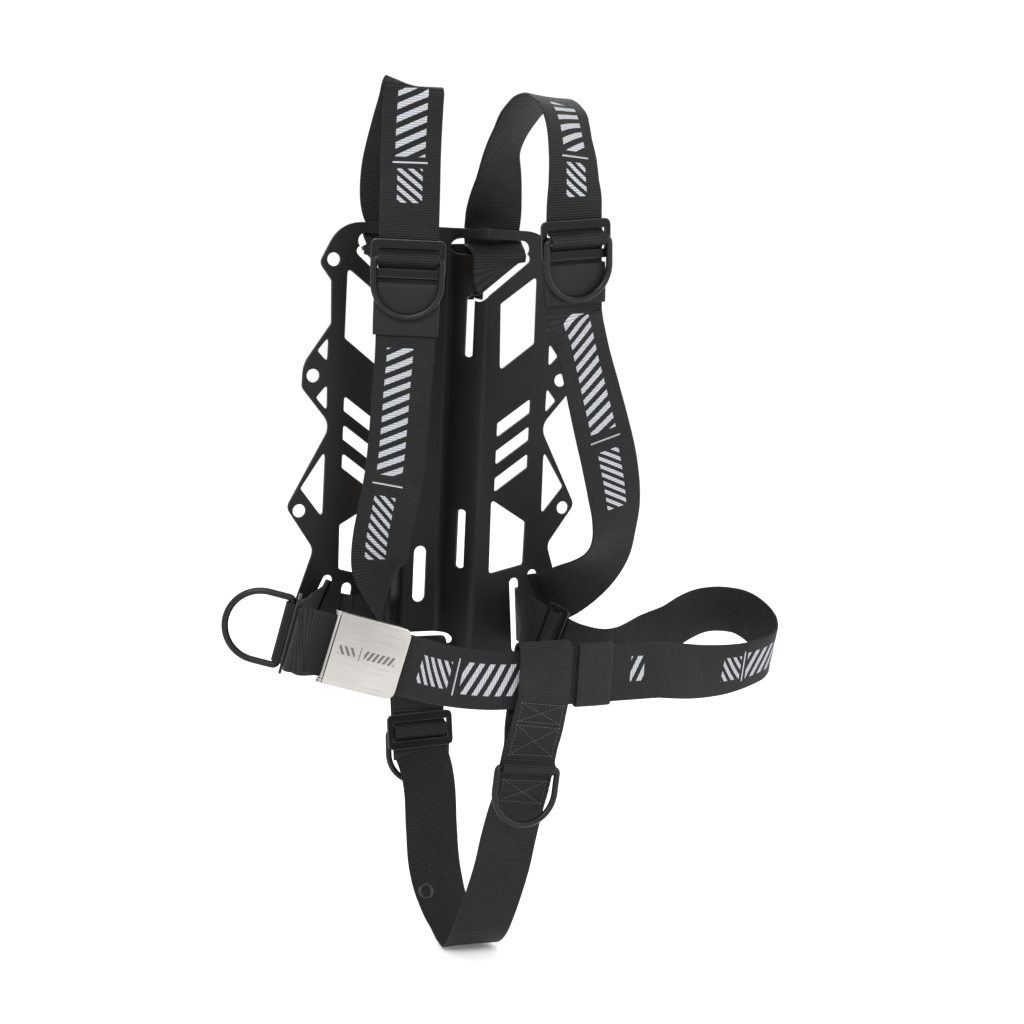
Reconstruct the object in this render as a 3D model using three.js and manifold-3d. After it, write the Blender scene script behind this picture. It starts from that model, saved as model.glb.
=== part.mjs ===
// Backplate and one-piece webbing harness of a wing-type buoyancy compensator. Millimetres, +Z up.
// The origin is the centre of the channel floor's rear face, where the plate rests on the tank side.
// +X points to the wearer's left, +Y at the tank. Left and right in names are the wearer's.
import * as THREE from 'three';
import { mergeVertices } from 'three/addons/utils/BufferGeometryUtils.js';
import Module from 'manifold-3d';

const wasm = await Module();
wasm.setup();

// driving dimensions
const webWidth = 50;
const webThick = 2.2;
const gap = 0.3;
const sheet = 3;
const plateTop = 200;
const plateBottom = -197.5;
const bendX = 40;
const floorX = 18;
const channelDepth = 32;
const wireRadius = 2.75;
const ringHalfWidth = 28.25;
const ringLeg = 20;
const slideHalfWidth = 31.5;
const slideHalfHeight = 16;
const barHalf = 3;
const slotOuter = 8.5;
const slideThick = 2.5;

// worked out from them
const wingFace = -(channelDepth + sheet);
const webHalf = webThick / 2;
const layer = webThick + gap;
const wrapRadius = wireRadius + gap + webHalf;
const slideBack = -(webHalf + gap);
const slideFront = slideBack - slideThick;
const ringY = slideFront - gap - wireRadius;

// finishes
const finish = (color, roughness, metalness) =>
  new THREE.MeshStandardMaterial({ color, roughness, metalness });
const blackPlate = () => finish(0x1b1a18, 0.42, 0.55);
const blackMetal = () => finish(0x26262a, 0.45, 0.6);
const nylon = () => finish(0x161617, 0.9, 0);
const elastic = () => finish(0x1e1d1f, 0.7, 0);
const steel = () => finish(0xc6c4c2, 0.3, 1);

// ---- solids ----

// a closed body through rings of points: capped at both ends, or joined end to start
function loft(rings, closed = false) {
  const n = rings[0].length;
  const points = rings.flat();
  const index = [];
  const spans = closed ? rings.length : rings.length - 1;
  for (let i = 0; i < spans; i++) {
    const a = i * n;
    const b = ((i + 1) % rings.length) * n;
    for (let j = 0; j < n; j++) {
      const k = (j + 1) % n;
      index.push(a + j, b + j, b + k, a + j, b + k, a + k);
    }
  }
  if (!closed) {
    const last = (rings.length - 1) * n;
    for (let j = 1; j < n - 1; j++) index.push(0, j, j + 1, last, last + j + 1, last + j);
  }
  const geometry = new THREE.BufferGeometry().setFromPoints(points);
  let volume = 0;
  for (let i = 0; i < index.length; i += 3) {
    const [a, b, c] = [points[index[i]], points[index[i + 1]], points[index[i + 2]]];
    volume += a.dot(b.clone().cross(c));
  }
  geometry.setIndex(volume < 0 ? index.reverse() : index);
  return geometry;
}

function toManifold(geometry) {
  const bare = geometry.clone();
  bare.deleteAttribute('normal');
  bare.deleteAttribute('uv');
  const merged = mergeVertices(bare, 1e-4);
  const index = merged.index.array;
  const triangles = [];
  for (let i = 0; i < index.length; i += 3) {
    const [a, b, c] = index.slice(i, i + 3);
    if (a !== b && b !== c && c !== a) triangles.push(a, b, c);
  }
  return new wasm.Manifold(new wasm.Mesh({
    numProp: 3,
    vertProperties: new Float32Array(merged.attributes.position.array),
    triVerts: new Uint32Array(triangles),
  }));
}

function fromManifold(solid) {
  const mesh = solid.getMesh();
  const geometry = new THREE.BufferGeometry();
  geometry.setAttribute('position', new THREE.BufferAttribute(mesh.vertProperties, 3));
  geometry.setIndex(new THREE.BufferAttribute(mesh.triVerts, 1));
  return geometry;
}

const cut = (geometry, ...tools) =>
  fromManifold(tools.reduce((solid, tool) => solid.subtract(toManifold(tool)), toManifold(geometry)));

// an outline through corners [x, y, radius]
function rounded(corners, target = new THREE.Shape()) {
  const at = (i) => new THREE.Vector2(...corners[(i + corners.length) % corners.length].slice(0, 2));
  corners.forEach(([, , radius], i) => {
    const corner = at(i);
    const from = at(i - 1).sub(corner).normalize();
    const to = at(i + 1).sub(corner).normalize();
    const reach = radius / Math.tan(Math.acos(THREE.MathUtils.clamp(from.dot(to), -1, 1)) / 2);
    const start = corner.clone().addScaledVector(from, reach);
    const end = corner.clone().addScaledVector(to, reach);
    if (i === 0) target.moveTo(start.x, start.y);
    else target.lineTo(start.x, start.y);
    if (radius > 0) target.quadraticCurveTo(corner.x, corner.y, end.x, end.y);
  });
  target.closePath();
  return target;
}

const rectangle = (width, height, radius = 0) => [
  [-width / 2, -height / 2, radius], [width / 2, -height / 2, radius],
  [width / 2, height / 2, radius], [-width / 2, height / 2, radius],
];

// an oblong slot with round ends, its long side at an angle to the second axis
function slot(x, y, length, width, angle = 0) {
  const radius = width / 2;
  const reach = length / 2 - radius;
  const path = new THREE.Path();
  for (const end of [1, -1]) {
    const across = angle + (end < 0 ? Math.PI : 0);
    const cx = x - end * Math.sin(angle) * reach;
    const cy = y + end * Math.cos(angle) * reach;
    path.absarc(cx, cy, radius, across, across + Math.PI, false);
  }
  path.closePath();
  return path;
}

// a shape in X and Z, given its thickness along Y and centred on a Y
function slab(shape, depth, y = 0, curveSegments = 4) {
  return new THREE.ExtrudeGeometry(shape, { depth, bevelEnabled: false, curveSegments })
    .rotateX(Math.PI / 2).translate(0, y + depth / 2, 0);
}

// ---- frames: where a piece of hardware sits on the webbing ----
// local X runs across the webbing, Z along it, and -Y is its outer side

function frame(at, across, along) {
  const z = new THREE.Vector3(...along).normalize();
  const x = new THREE.Vector3(...across);
  x.addScaledVector(z, -x.dot(z)).normalize();
  const y = z.clone().cross(x);
  return new THREE.Matrix4().makeBasis(x, y, z).setPosition(...at);
}

// webbing stations [x, y, z, across x, y, z] from local [y, z] points
function stations(matrix, points) {
  const across = new THREE.Vector3().setFromMatrixColumn(matrix, 0).toArray();
  return points.map(([y, z]) => [...new THREE.Vector3(0, y, z).applyMatrix4(matrix).toArray(), ...across]);
}

// stations through a slot of the plate, from [distance outwards from the slot's centre line, y] points
function through({ x, z, lean }, side, points, width = webWidth) {
  const angle = side * lean;
  const outward = new THREE.Vector2(Math.cos(angle), Math.sin(angle)).multiplyScalar(side);
  return points.map(([t, y, tilt = 0]) => [side * x + t * outward.x, y, z + t * outward.y,
    -Math.sin(angle), tilt, Math.cos(angle), width]);
}

const mirrored = (points) => [...points, ...points.slice(0, -1).reverse().map(([y, z]) => [y, -z])];

// over a slide's middle bar, with a D-ring's bar held under the hump
const weaveWithRing = mirrored([
  [0, 19], [0, 15], [0, 9.6], [-0.4, 7.6], [-1.9, 5.7], [-4.3, 4.7], [ringY, wrapRadius],
  [ringY - wrapRadius * 0.7, wrapRadius * 0.71], [ringY - wrapRadius, 0],
]);
// over a slide's middle bar alone
const weavePlain = mirrored([
  [0, 19], [0, 15], [0, 9.6], [-0.4, 7.6], [-1.9, 5.8], [-3.6, 5], [slideFront - webHalf, 4.1],
  [slideFront - 2 * gap - webHalf, 2.3], [slideFront - 2 * gap - webHalf, 0],
]);
// over a D-ring's bar, with another layer of webbing behind it
const stitchedRingY = layer - wrapRadius;
const weaveStitched = mirrored([
  [0, 19], [0, 15], [0, 8], [-0.7, 5.4], [stitchedRingY - 1.1, wrapRadius * 0.93],
  [stitchedRingY - wrapRadius * 0.8, wrapRadius * 0.6], [stitchedRingY - wrapRadius, 0],
]);

// ---- webbing ----

function webbing(route, stepsPerSpan = 2) {
  const centres = new THREE.CatmullRomCurve3(route.map((row) => new THREE.Vector3(...row.slice(0, 3))));
  const acrosses = new THREE.CatmullRomCurve3(route.map((row) => new THREE.Vector3(...row.slice(3, 6))));
  const spans = route.length - 1;
  const steps = spans * stepsPerSpan;
  const rings = [];
  for (let i = 0; i <= steps; i++) {
    const t = i / steps;
    const centre = centres.getPoint(t);
    const tangent = centres.getTangent(t);
    const across = acrosses.getPoint(t);
    // the seventh value of a station is the width along a fold that crosses the webbing at a slant
    const before = Math.min(Math.floor(t * spans), spans - 1);
    const [from, to] = [route[before][6], route[before + 1][6]];
    const share = t * spans - before;
    const square = THREE.MathUtils.lerp(from ? 0 : 1, to ? 0 : 1, share);
    const width = THREE.MathUtils.lerp(from ?? webWidth, to ?? webWidth, share);
    across.addScaledVector(tangent, -across.dot(tangent) * square).normalize().multiplyScalar(width / 2);
    const normal = tangent.clone().cross(across).normalize().multiplyScalar(webHalf);
    rings.push([[1, 1], [-1, 1], [-1, -1], [1, -1]].map(([side, face]) =>
      centre.clone().addScaledVector(across, side).addScaledVector(normal, face)));
  }
  return loft(rings);
}

// ---- hardware ----

// a three-bar slide, bars along X
function slide() {
  const shape = rounded(rectangle(2 * slideHalfWidth, 2 * slideHalfHeight, 6));
  const window = slotOuter - barHalf;
  for (const side of [1, -1]) {
    const hole = rectangle(webWidth + 2, window, 1.5).map(([x, y, r]) =>
      [x, y + side * (barHalf + slotOuter) / 2, r]);
    shape.holes.push(rounded(hole, new THREE.Path()));
  }
  return slab(shape, slideThick, (slideBack + slideFront) / 2, 3);
}

// a D-ring of round wire, its straight bar on local X, the bow hanging down, tipped out by an angle
function dRing(barY, tip = 0) {
  const path = new THREE.Path();
  path.moveTo(-ringHalfWidth + 4, 0);
  path.lineTo(ringHalfWidth - 4, 0);
  path.quadraticCurveTo(ringHalfWidth, 0, ringHalfWidth, -4);
  path.lineTo(ringHalfWidth, -ringLeg);
  path.absarc(0, -ringLeg, ringHalfWidth, 0, -Math.PI, true);
  path.lineTo(-ringHalfWidth, -4);
  path.quadraticCurveTo(-ringHalfWidth, 0, -ringHalfWidth + 4, 0);
  const points = path.getPoints(7);
  points.pop();
  const sides = 8;
  const rings = points.map((point, i) => {
    const before = points[(i + points.length - 1) % points.length];
    const after = points[(i + 1) % points.length];
    const along = after.clone().sub(before).normalize();
    return Array.from({ length: sides }, (_, j) => {
      const a = (2 * Math.PI * j) / sides;
      return new THREE.Vector3(point.x - along.y * wireRadius * Math.cos(a), wireRadius * Math.sin(a),
        point.y + along.x * wireRadius * Math.cos(a));
    });
  });
  return loft(rings, true).rotateX(-tip).translate(0, barY, 0);
}

// an elastic sleeve that holds the webbing, its length along Z
function keeper(length) {
  const wall = 2;
  const inner = rectangle(webWidth + 1, webThick + 1, 1);
  const outer = rectangle(webWidth + 1 + 2 * wall, webThick + 1 + 2 * wall, 2.5);
  const shape = rounded(outer);
  shape.holes.push(rounded(inner, new THREE.Path()));
  return new THREE.ExtrudeGeometry(shape, { depth: length, bevelEnabled: false, curveSegments: 2 })
    .translate(0, 0, -length / 2);
}

// ---- backplate ----

const plateSide = [
  [97, plateTop, 34], [115, 163.5, 8], [103.8, 149, 6], [102.8, 112.2, 5], [126.8, 76.7, 30],
  [127.5, 56.4, 8], [100.2, 24.2, 16], [138.1, -47.6, 9], [112.4, -84.8, 12], [134.6, -151, 20],
  [134.6, plateBottom, 18],
];
const lightening = [
  [[89.7, 160.5, 3], [90.3, 100, 3], [57.1, 74.5, 3], [55.1, 134.3, 3]],
  [[89.3, -63.4, 3], [88.9, -102.7, 3], [55.4, -110.8, 3], [54.5, -42.2, 3]],
  [[104.8, 101, 2], [114.5, 88.5, 2], [105.2, 79, 2]],
  [[104.5, 60, 2], [114.5, 48, 2], [104.1, 36.5, 2]],
  [[104.4, 3, 2.5], [126, -31, 2.5], [105.1, -57, 2.5]],
];
const slantedBars = { count: 3, pitch: 25, top: 37, inner: 57, outer: 89, rise: 23, height: 13 };
const sideHoles = [[102.5, 167], [117.7, 67], [126.5, -50.5], [124, -184.5]];
const sideHoleRadius = 5.8;
const upperSlot = { x: 49, z: 184, length: 64, width: 14, lean: -Math.PI / 2 };
const foldSlot = { x: 56.5, z: 157.5, length: 64, width: 9, lean: THREE.MathUtils.degToRad(-50) };
const innerSlot = { x: 83.5, z: -150, length: 70, width: 9, lean: THREE.MathUtils.degToRad(5) };
const outerSlot = { x: 109, z: -134.5, length: 58, width: 9, lean: THREE.MathUtils.degToRad(24.5) };
const bandSlots = [[30.8, 112.5], [30.8, -80]];
const bandSlot = { length: 54, width: 5 };
const boltSlot = { z: -115, length: 52, width: 12 };
const crotchSlot = { z: -174, length: 56, width: 10 };

function backplate() {
  const bend = Math.atan2(channelDepth, bendX - floorX);
  const mitre = sheet * Math.tan(bend / 2);
  const half = 145;
  const section = (x, y, radius) => [[x, y, radius], [-x, y, radius]];
  const [frontWing, frontFloor] = [section(bendX, wingFace, 3), section(floorX, -sheet, 6)];
  const [rearWing, rearFloor] = [section(bendX + mitre, wingFace + sheet, 6), section(floorX + mitre, 0, 3)];
  const profile = rounded([
    [-half, wingFace, 0], frontWing[1], frontFloor[1], frontFloor[0], frontWing[0], [half, wingFace, 0],
    [half, wingFace + sheet, 0], rearWing[0], rearFloor[0], rearFloor[1], rearWing[1],
    [-half, wingFace + sheet, 0],
  ]);
  const height = plateTop - plateBottom + 20;
  const extrusion = { depth: height, bevelEnabled: false, curveSegments: 3 };
  const bentSheet = new THREE.ExtrudeGeometry(profile, extrusion).translate(0, 0, plateBottom - 10);

  const left = plateSide.map(([x, z, radius]) => [-x, z, radius]).reverse();
  const holes = [
    slot(0, boltSlot.z, boltSlot.length, boltSlot.width),
    slot(0, crotchSlot.z, crotchSlot.length, crotchSlot.width, Math.PI / 2),
  ];
  const { inner, outer, rise, height: bar } = slantedBars;
  const bars = Array.from({ length: slantedBars.count }, (_, i) => {
    const z = slantedBars.top - i * slantedBars.pitch;
    return [[inner, z - rise, 2], [outer, z, 2], [outer, z + bar, 2], [inner, z + bar - rise, 2]];
  });
  for (const side of [1, -1]) {
    for (const corners of [...lightening, ...bars]) {
      holes.push(rounded(corners.map(([x, z, radius]) => [side * x, z, radius])));
    }
    for (const [x, z] of sideHoles) {
      const hole = new THREE.Path();
      for (const start of [0, Math.PI]) {
        hole.absarc(side * x, z, sideHoleRadius, start, start + Math.PI);
      }
      holes.push(hole);
    }
    for (const [x, z] of bandSlots) holes.push(slot(side * x, z, bandSlot.length, bandSlot.width));
    for (const { x, z, length, width, lean } of [upperSlot, foldSlot, innerSlot, outerSlot]) {
      holes.push(slot(side * x, z, length, width, side * lean));
    }
  }
  const depth = channelDepth + 20;
  const die = (shape) => toManifold(slab(shape, depth, wingFace / 2));
  const outline = toManifold(bentSheet).intersect(die(rounded([...plateSide, ...left])));
  return fromManifold(holes.reduce((plate, hole) => plate.subtract(die(new THREE.Shape(hole.getPoints(3)))),
    outline));
}

// ---- where the hardware sits, measured from the wings' front face ----

const shoulderRight = frame([-57, -59, 170], [0.94, -0.34, 0], [0, 0, 1]);
const shoulderLeft = frame([49, -157, 192], [1, 0.03, 0], [-0.11, -0.1, 0.99]);
const hipRight = frame([-170, -134, -130], [0.24, 0, 0.97], [0.34, 0.94, 0]);
const hipLeft = frame([90, -64, -160], [0.32, -0.1, 0.94], [-0.15, 1, 0.12]);
const crotchTop = frame([-5, 5, -254], [1, 0, 0], [-0.04, 0.14, 0.99]);
const crotchFront = frame([37, -142, -252], [1, 0, 0.03], [0.12, -0.1, 0.98]);
const buckle = frame([-123, -166, -141.5], [0.28, 0.03, 0.96], [-0.95, -0.06, 0.28]);
const beltSleeve = frame([97, -138, -175], [0, 0, 1], [-0.99, -0.11, 0.02]);

// ---- webbing routes: centre, then the direction across the webbing ----

// in front of the inner bar of a waist slot, through it and behind the outer bar
const weaveBack = [[-7.5, -1.7], [-4.1, -1.6], [-2, -0.3], [0, 1.5], [2, 3.3], [4.2, 4.6], [7.5, 4.7]];
// from behind the bar beside a waist slot and away to the front
const goOutward = [[-7.5, 4.7], [-4.2, 4.6], [-2, 3.4], [-0.2, 1.5], [1.2, -1], [2, -5]];

const crossoverEnd = (side) => [
  [side * 38, 24.4, 161.7, side * 0.3, -0.18, 0.94], [side * 33.5, 27.8, 161.5, side * 0.16, -0.1, 0.98],
  [side * 26, 34.4, 161, 0, 0, 1], [side * 20.2, 38.1, 160.5, 0, 0, 1], [side * 14, 38.6, 160.2, 0, 0, 1],
];
const crossover = [...crossoverEnd(-1), [0, 38.6, 160, 0, 0, 1], ...crossoverEnd(1).reverse()];

// up from the crossover, round the upper edge of the fold slot, up the front and out behind the top edge
const shoulderStart = (side) => [
  [side * 42.2, 21.3, 161.9, 0.33, side * -0.2, side * 0.92],
  [side * 45.4, 19, 162.1, 0.48, side * -0.28, side * 0.83],
  ...through(foldSlot, side, [
    [-5.4, 16.8, -0.3], [-3.2, 10.8, -0.22], [-2.75, 3.8, -0.12], [-3, -0.9, -0.02], [-5, -2], [-7.5, -2.1],
  ], 58).map(([x, y, z, ax, ay, az, width]) =>
    [x, y, z, side * ax, side * ay, side * az, width]),
  [side * 50.5, -2.4, 169, 0.98, 0, side * 0.18], [side * 50, -4, 176, 1, side * -0.1, 0],
  [side * 50.2, 0.5, 180.8, 0.98, side * -0.2, 0], [side * 50.6, 9.8, 186, 0.92, side * -0.4, 0],
  [side * 51, 18, 191, 0.85, side * -0.53, 0],
  [side * 51, 19.6, 198, 0.85, side * -0.53, 0], [side * 51, 18, 206, 0.87, side * -0.48, 0],
];

const shoulderRightRoute = [
  ...shoulderStart(-1),
  [-54, 8, 226, 0.98, 0.1, 0], [-57, -8, 250, 0.97, -0.2, 0], [-56, -26, 280, 0.95, -0.3, -0.05],
  [-56, -43, 301, 0.94, -0.33, -0.12], [-57, -51, 309.5, 0.93, -0.33, -0.16],
  [-57, -55.5, 311.5, 0.93, -0.33, -0.16], [-57.3, -58.8, 308, 0.93, -0.33, -0.12],
  [-58, -60, 298, 0.94, -0.35, 0], [-58.5, -60, 262, 0.94, -0.34, 0], [-57.5, -59.3, 220, 0.94, -0.34, 0],
  ...stations(shoulderRight, weaveWithRing),
  [-57, -59, 120, 0.94, -0.34, 0], [-57, -59, 86, 0.94, -0.34, 0], [-57, -55, 58, 0.94, -0.34, 0.03],
  [-57, -52, 26, 0.94, -0.34, 0.04], [-59, -50, -13, 0.94, -0.34, 0.05],
  [-63, -48, -43, 0.94, -0.33, 0.07], [-66.5, -45.5, -70, 0.94, -0.32, 0.08],
  [-66, -42, -90, 0.94, -0.2, 0.08], [-60, -34, -111, 0.75, 0.5, 0.35],
  [-54.5, -25, -128, 0.4, 0.6, 0.7], [-57, -15, -140, 0.1, 0.25, 0.96, 50], [-65, -8, -146.5, 0.05, 0, 1, 50],
  ...through(innerSlot, -1, weaveBack),
];

const hipRightRoute = [
  ...through(outerSlot, -1, [[-10.5, 4.8], ...goOutward]),
  [-115, -20, -134, 0.36, 0, 0.93], [-131, -52, -136, 0.2, 0, 0.98], [-147, -86, -134, 0.2, 0, 0.98],
  ...stations(hipRight, weaveWithRing),
  [-178, -157, -129.6, 0.26, 0, 0.96], [-177, -165, -128.6, 0.27, 0.01, 0.96],
  [-171, -168.8, -128, 0.28, 0.03, 0.96],
  ...stations(buckle, [[0, 40], [0, 32], [0, 24.2]]),
];

const shoulderLeftRoute = [
  ...shoulderStart(1),
  [48.3, 8, 226, 0.99, -0.08, 0.05], [46, -2, 245, 0.95, 0.22, 0.12], [44, -10, 262, 0.89, 0.42, 0.15],
  [45, -20, 277, 0.87, 0.48, 0.08], [47, -35, 291, 0.84, 0.53, 0], [47, -53, 301, 0.82, 0.56, -0.04],
  [47, -75, 307.5, 0.79, 0.6, -0.02], [47, -95, 308, 0.8, 0.58, 0.03], [46, -115, 303.5, 0.82, 0.56, 0.07],
  [44, -135, 294, 0.85, 0.5, 0.1], [42.5, -150, 279, 0.9, 0.42, 0.09], [43, -159, 258, 0.96, 0.28, 0.08],
  [44, -161.5, 238, 0.98, 0.18, 0.05], [45.5, -160.8, 224, 1, 0.06, 0.02],
  ...stations(shoulderLeft, weaveWithRing),
  ...stations(shoulderLeft, [[0, -34], [0, -50], [0, -57.5], [0, -64]]),
  [64, -144.5, 116, 0.97, 0.2, 0.02], [74, -138, 94, 0.98, 0.17, 0.03], [86, -132, 66, 0.99, 0.05, 0.06],
  [99, -126, 35, 1, -0.06, 0.03], [110, -120, 9, 0.99, -0.1, 0.05], [119.5, -114, -18, 1, 0, 0.04],
  [126, -108, -39, 0.98, 0.16, 0.05], [130, -99, -60, 0.94, 0.3, 0], [131, -86, -79, 0.9, 0.35, -0.25],
  [128, -67, -97, 0.78, 0.3, -0.52], [121, -42, -115, 0.62, 0.12, -0.77], [114.5, -18, -129, 0.47, 0, -0.88],
  ...through(outerSlot, 1, [...goOutward].reverse()).map(([x, y, z, ax, ay, az, width]) =>
    [x, y, z, -ax, ay, -az, width]),
];

const hipLeftRoute = [
  ...through(innerSlot, 1, [[12, 4.8], [8.5, 4.8], [4.3, 4.6], [2.9, 3.8], [2.4, 1.5], [2, -1], [1.6, -5]]),
  [85.2, -16, -152, 0.05, 0, 1], [86, -37, -156, 0.28, -0.06, 0.95],
  ...stations(hipLeft, weavePlain),
  [97.2, -88.8, -164.2, 0.3, -0.04, 0.95], [105, -91.8, -166.5, 0.2, 0, 0.97],
  [117, -92.3, -169.5, 0.08, 0, 0.99], [133, -89.5, -171.5, -0.05, 0, 1],
  [151, -82, -171.5, -0.25, -0.05, 0.96], [170, -72, -168.5, -0.42, -0.12, 0.89],
  [190, -60, -165, -0.55, -0.2, 0.8], [213, -50, -160, -0.62, -0.26, 0.74],
  [238, -44, -149, -0.6, -0.28, 0.76], [260, -40, -144, -0.42, -0.31, 0.85],
  [277, -41, -143, -0.22, -0.35, 0.91], [295, -48, -145.5, -0.08, -0.42, 0.9],
  [307, -59, -154, 0, -0.5, 0.86], [311.5, -75, -165, -0.06, -0.45, 0.89],
  [307, -89, -172.5, -0.15, -0.45, 0.88], [296, -98, -177, -0.22, -0.42, 0.88],
  [275, -106, -181, -0.2, -0.35, 0.91], [251, -110.5, -184, -0.13, -0.25, 0.96],
  [215, -118.5, -183, -0.1, -0.12, 0.98], [185, -126.5, -179, -0.03, -0.03, 1],
  ...stations(beltSleeve, [[0, -71], [0, -64]]),
];

const beltRoute = [
  ...stations(beltSleeve, [[0, -62.8], [0, -30], [0, 0], [0, 36]]),
  [30, -143.6, -175, 0.02, 0, 1], [0, -145.4, -174, 0.03, 0, 1], [-30, -148.5, -169.5, 0.08, 0.02, 1],
  [-55, -153.5, -163, 0.16, 0.03, 0.98],
  ...stations(buckle, [[0, -44], [0, -30], [0, 0], [0, 23.8]]),
];

const crotchRearRoute = [
  ...stations(crotchTop, [
    [2.6, -26], [2.6, -10], [3.5, -5.8], [6.2, -3.8], [7.9, -1.9], [8.35, 0],
    [7.9, 1.9], [6.2, 3.8], [4.2, 6.5], [4, 12],
  ]),
  [-4, 17, -232, 1, 0, 0], [-2, 30, -216, 1, 0, 0], [-0.5, 38.2, -202, 1, 0, 0],
  [0, 39, -190, 1, 0, 0], [0, 38.7, -180, 1, 0, 0], [0, 36.9, -175.6, 1, 0, 0], [0, 31, -173.8, 1, 0, 0],
  [0, 25.5, -173.8, 1, 0, 0], [0, 20.8, -177.5, 1, 0, 0], [0, 19, -186, 1, 0, 0],
  [-1, 18.2, -200, 1, 0, 0], [-3, 13.5, -218, 1, 0, 0],
  ...stations(crotchTop, weavePlain),
  [-2.5, 1, -277, 1, -0.02, 0], [1, -2, -289, 1, -0.02, -0.02], [4, -5, -308, 1, -0.01, -0.04],
  [5.6, -8.4, -340, 1, -0.01, -0.06],
];

const crotchFrontRoute = [
  [5.7, -8.5, -340.4, 1, -0.01, -0.06], [7, -14, -371, 1, -0.02, -0.07], [9, -20, -389, 1, 0, -0.1],
  [12, -28, -405, 0.99, 0.05, -0.15], [17, -40, -421, 0.98, 0.05, -0.15],
  [21, -54, -431, 0.98, -0.08, -0.05], [22.5, -68, -433, 0.96, -0.2, 0.05],
  [22, -81, -426, 0.95, -0.28, 0.1], [21, -94, -413, 0.95, -0.27, 0.06], [22, -104, -395, 0.96, -0.23, 0],
  [25, -113, -370, 0.98, -0.19, -0.06], [28, -120, -345, 0.98, -0.15, -0.11],
  [29.5, -127, -318, 0.99, -0.12, -0.12], [32.2, -134.5, -289, 0.99, -0.06, -0.1],
  ...stations(crotchFront, weaveStitched).reverse(),
  [41.5, -145.8, -222, 1, 0.02, 0], [44, -147, -206, 1, 0.04, 0], [46.5, -147.8, -188, 1, 0.06, 0],
  [47, -148, -168, 1, 0.07, 0], [47, -147.6, -153, 1, 0.07, 0], [46.8, -146.2, -146.6, 1, 0.07, 0],
  [46.5, -142.4, -143.8, 1, 0.07, 0], [46.3, -138.4, -146.6, 1, 0.07, 0],
  [46, -136.8, -153, 1, 0.07, 0], [45, -136.6, -175, 1, 0.06, 0], [43, -137.4, -196, 1, 0.03, 0],
  [40.5, -139.4, -216, 1, 0, 0],
  ...stations(crotchFront, [[2.7, 20], [2.6, 10], [2.6, -20]]),
];

// ---- buckle, in its own frame ----

const baseHalf = 27.2;
const buckleWall = 1.5;
const coverHalf = 29;
const coverTop = -9;
const baseFloor = 3.2;
const pinAt = { y: -3.6, z: 29.5, radius: 2.2 };

// a rod or disc about the pin's axis
const pinRod = (radius, length, x = 0) => new THREE.CylinderGeometry(radius, radius, length, 20)
  .rotateZ(Math.PI / 2).translate(x, pinAt.y, pinAt.z);

// a channel bent from sheet, its length along Z
function channelSection(half, closedY, openY, start, end) {
  const inward = closedY + buckleWall * Math.sign(openY - closedY);
  const inner = half - buckleWall;
  const shape = rounded([
    [-half, openY, 0], [-half, closedY, 1], [half, closedY, 1], [half, openY, 0],
    [inner, openY, 0], [inner, inward, 0], [-inner, inward, 0], [-inner, openY, 0],
  ]);
  return new THREE.ExtrudeGeometry(shape, { depth: end - start, bevelEnabled: false, curveSegments: 3 })
    .translate(0, 0, start);
}

// a channel with a round eye at each side for the pin
function hingedChannel(channel, half, eyeRadius) {
  const eyes = [-1, 1].map((side) =>
    toManifold(pinRod(eyeRadius, buckleWall, side * (half - buckleWall / 2))));
  const body = eyes.reduce((solid, eye) => solid.add(eye), toManifold(channel));
  return body.subtract(toManifold(pinRod(pinAt.radius + gap, 2 * coverHalf + 4)));
}

function buckleBase() {
  const eyeRadius = pinAt.y - coverTop - buckleWall - gap;
  const channel = channelSection(baseHalf, baseFloor, pinAt.y - eyeRadius, -20, pinAt.z);
  const window = new THREE.BoxGeometry(2 * baseHalf - 12, 6, 14).translate(0, baseFloor, -4);
  return fromManifold(hingedChannel(channel, baseHalf, eyeRadius).subtract(toManifold(window)));
}

function buckleCover() {
  const channel = channelSection(coverHalf, coverTop, 0.6, -33, pinAt.z + 1);
  const corners = [[-coverHalf, -33, 8], [coverHalf, -33, 8], [coverHalf, 40, 0], [-coverHalf, 40, 0]];
  const die = toManifold(slab(rounded(corners), 30, -5, 6));
  return fromManifold(hingedChannel(channel, coverHalf, 4.2).intersect(die));
}

const camBar = () => slab(rounded([[-24, 14, 1], [24, 14, 1], [24, 20, 1], [-24, 20, 1]]), 5.4, -4.5, 2);

// ---- assembly ----

const jacket = new THREE.Group();
const harness = new THREE.Group();
harness.position.y = wingFace;
jacket.add(harness);

function put(group, name, geometry, material, matrix = new THREE.Matrix4()) {
  const mesh = new THREE.Mesh(geometry, material);
  mesh.name = name;
  mesh.applyMatrix4(matrix);
  group.add(mesh);
}

put(jacket, 'backplate', backplate(), blackPlate());

for (const [name, route] of Object.entries({
  webbing_crossover: crossover,
  webbing_shoulder_right: shoulderRightRoute,
  webbing_shoulder_left: shoulderLeftRoute,
  webbing_hip_right: hipRightRoute,
  webbing_hip_left: hipLeftRoute,
  webbing_belt: beltRoute,
  webbing_crotch_rear: crotchRearRoute,
  webbing_crotch_front: crotchFrontRoute,
})) put(harness, name, webbing(route), nylon());

for (const [name, place] of Object.entries({
  slide_shoulder_right: shoulderRight,
  slide_shoulder_left: shoulderLeft,
  slide_hip_right: hipRight,
  slide_hip_left: hipLeft,
  slide_crotch: crotchTop,
})) put(harness, name, slide(), blackMetal(), place);

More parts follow.
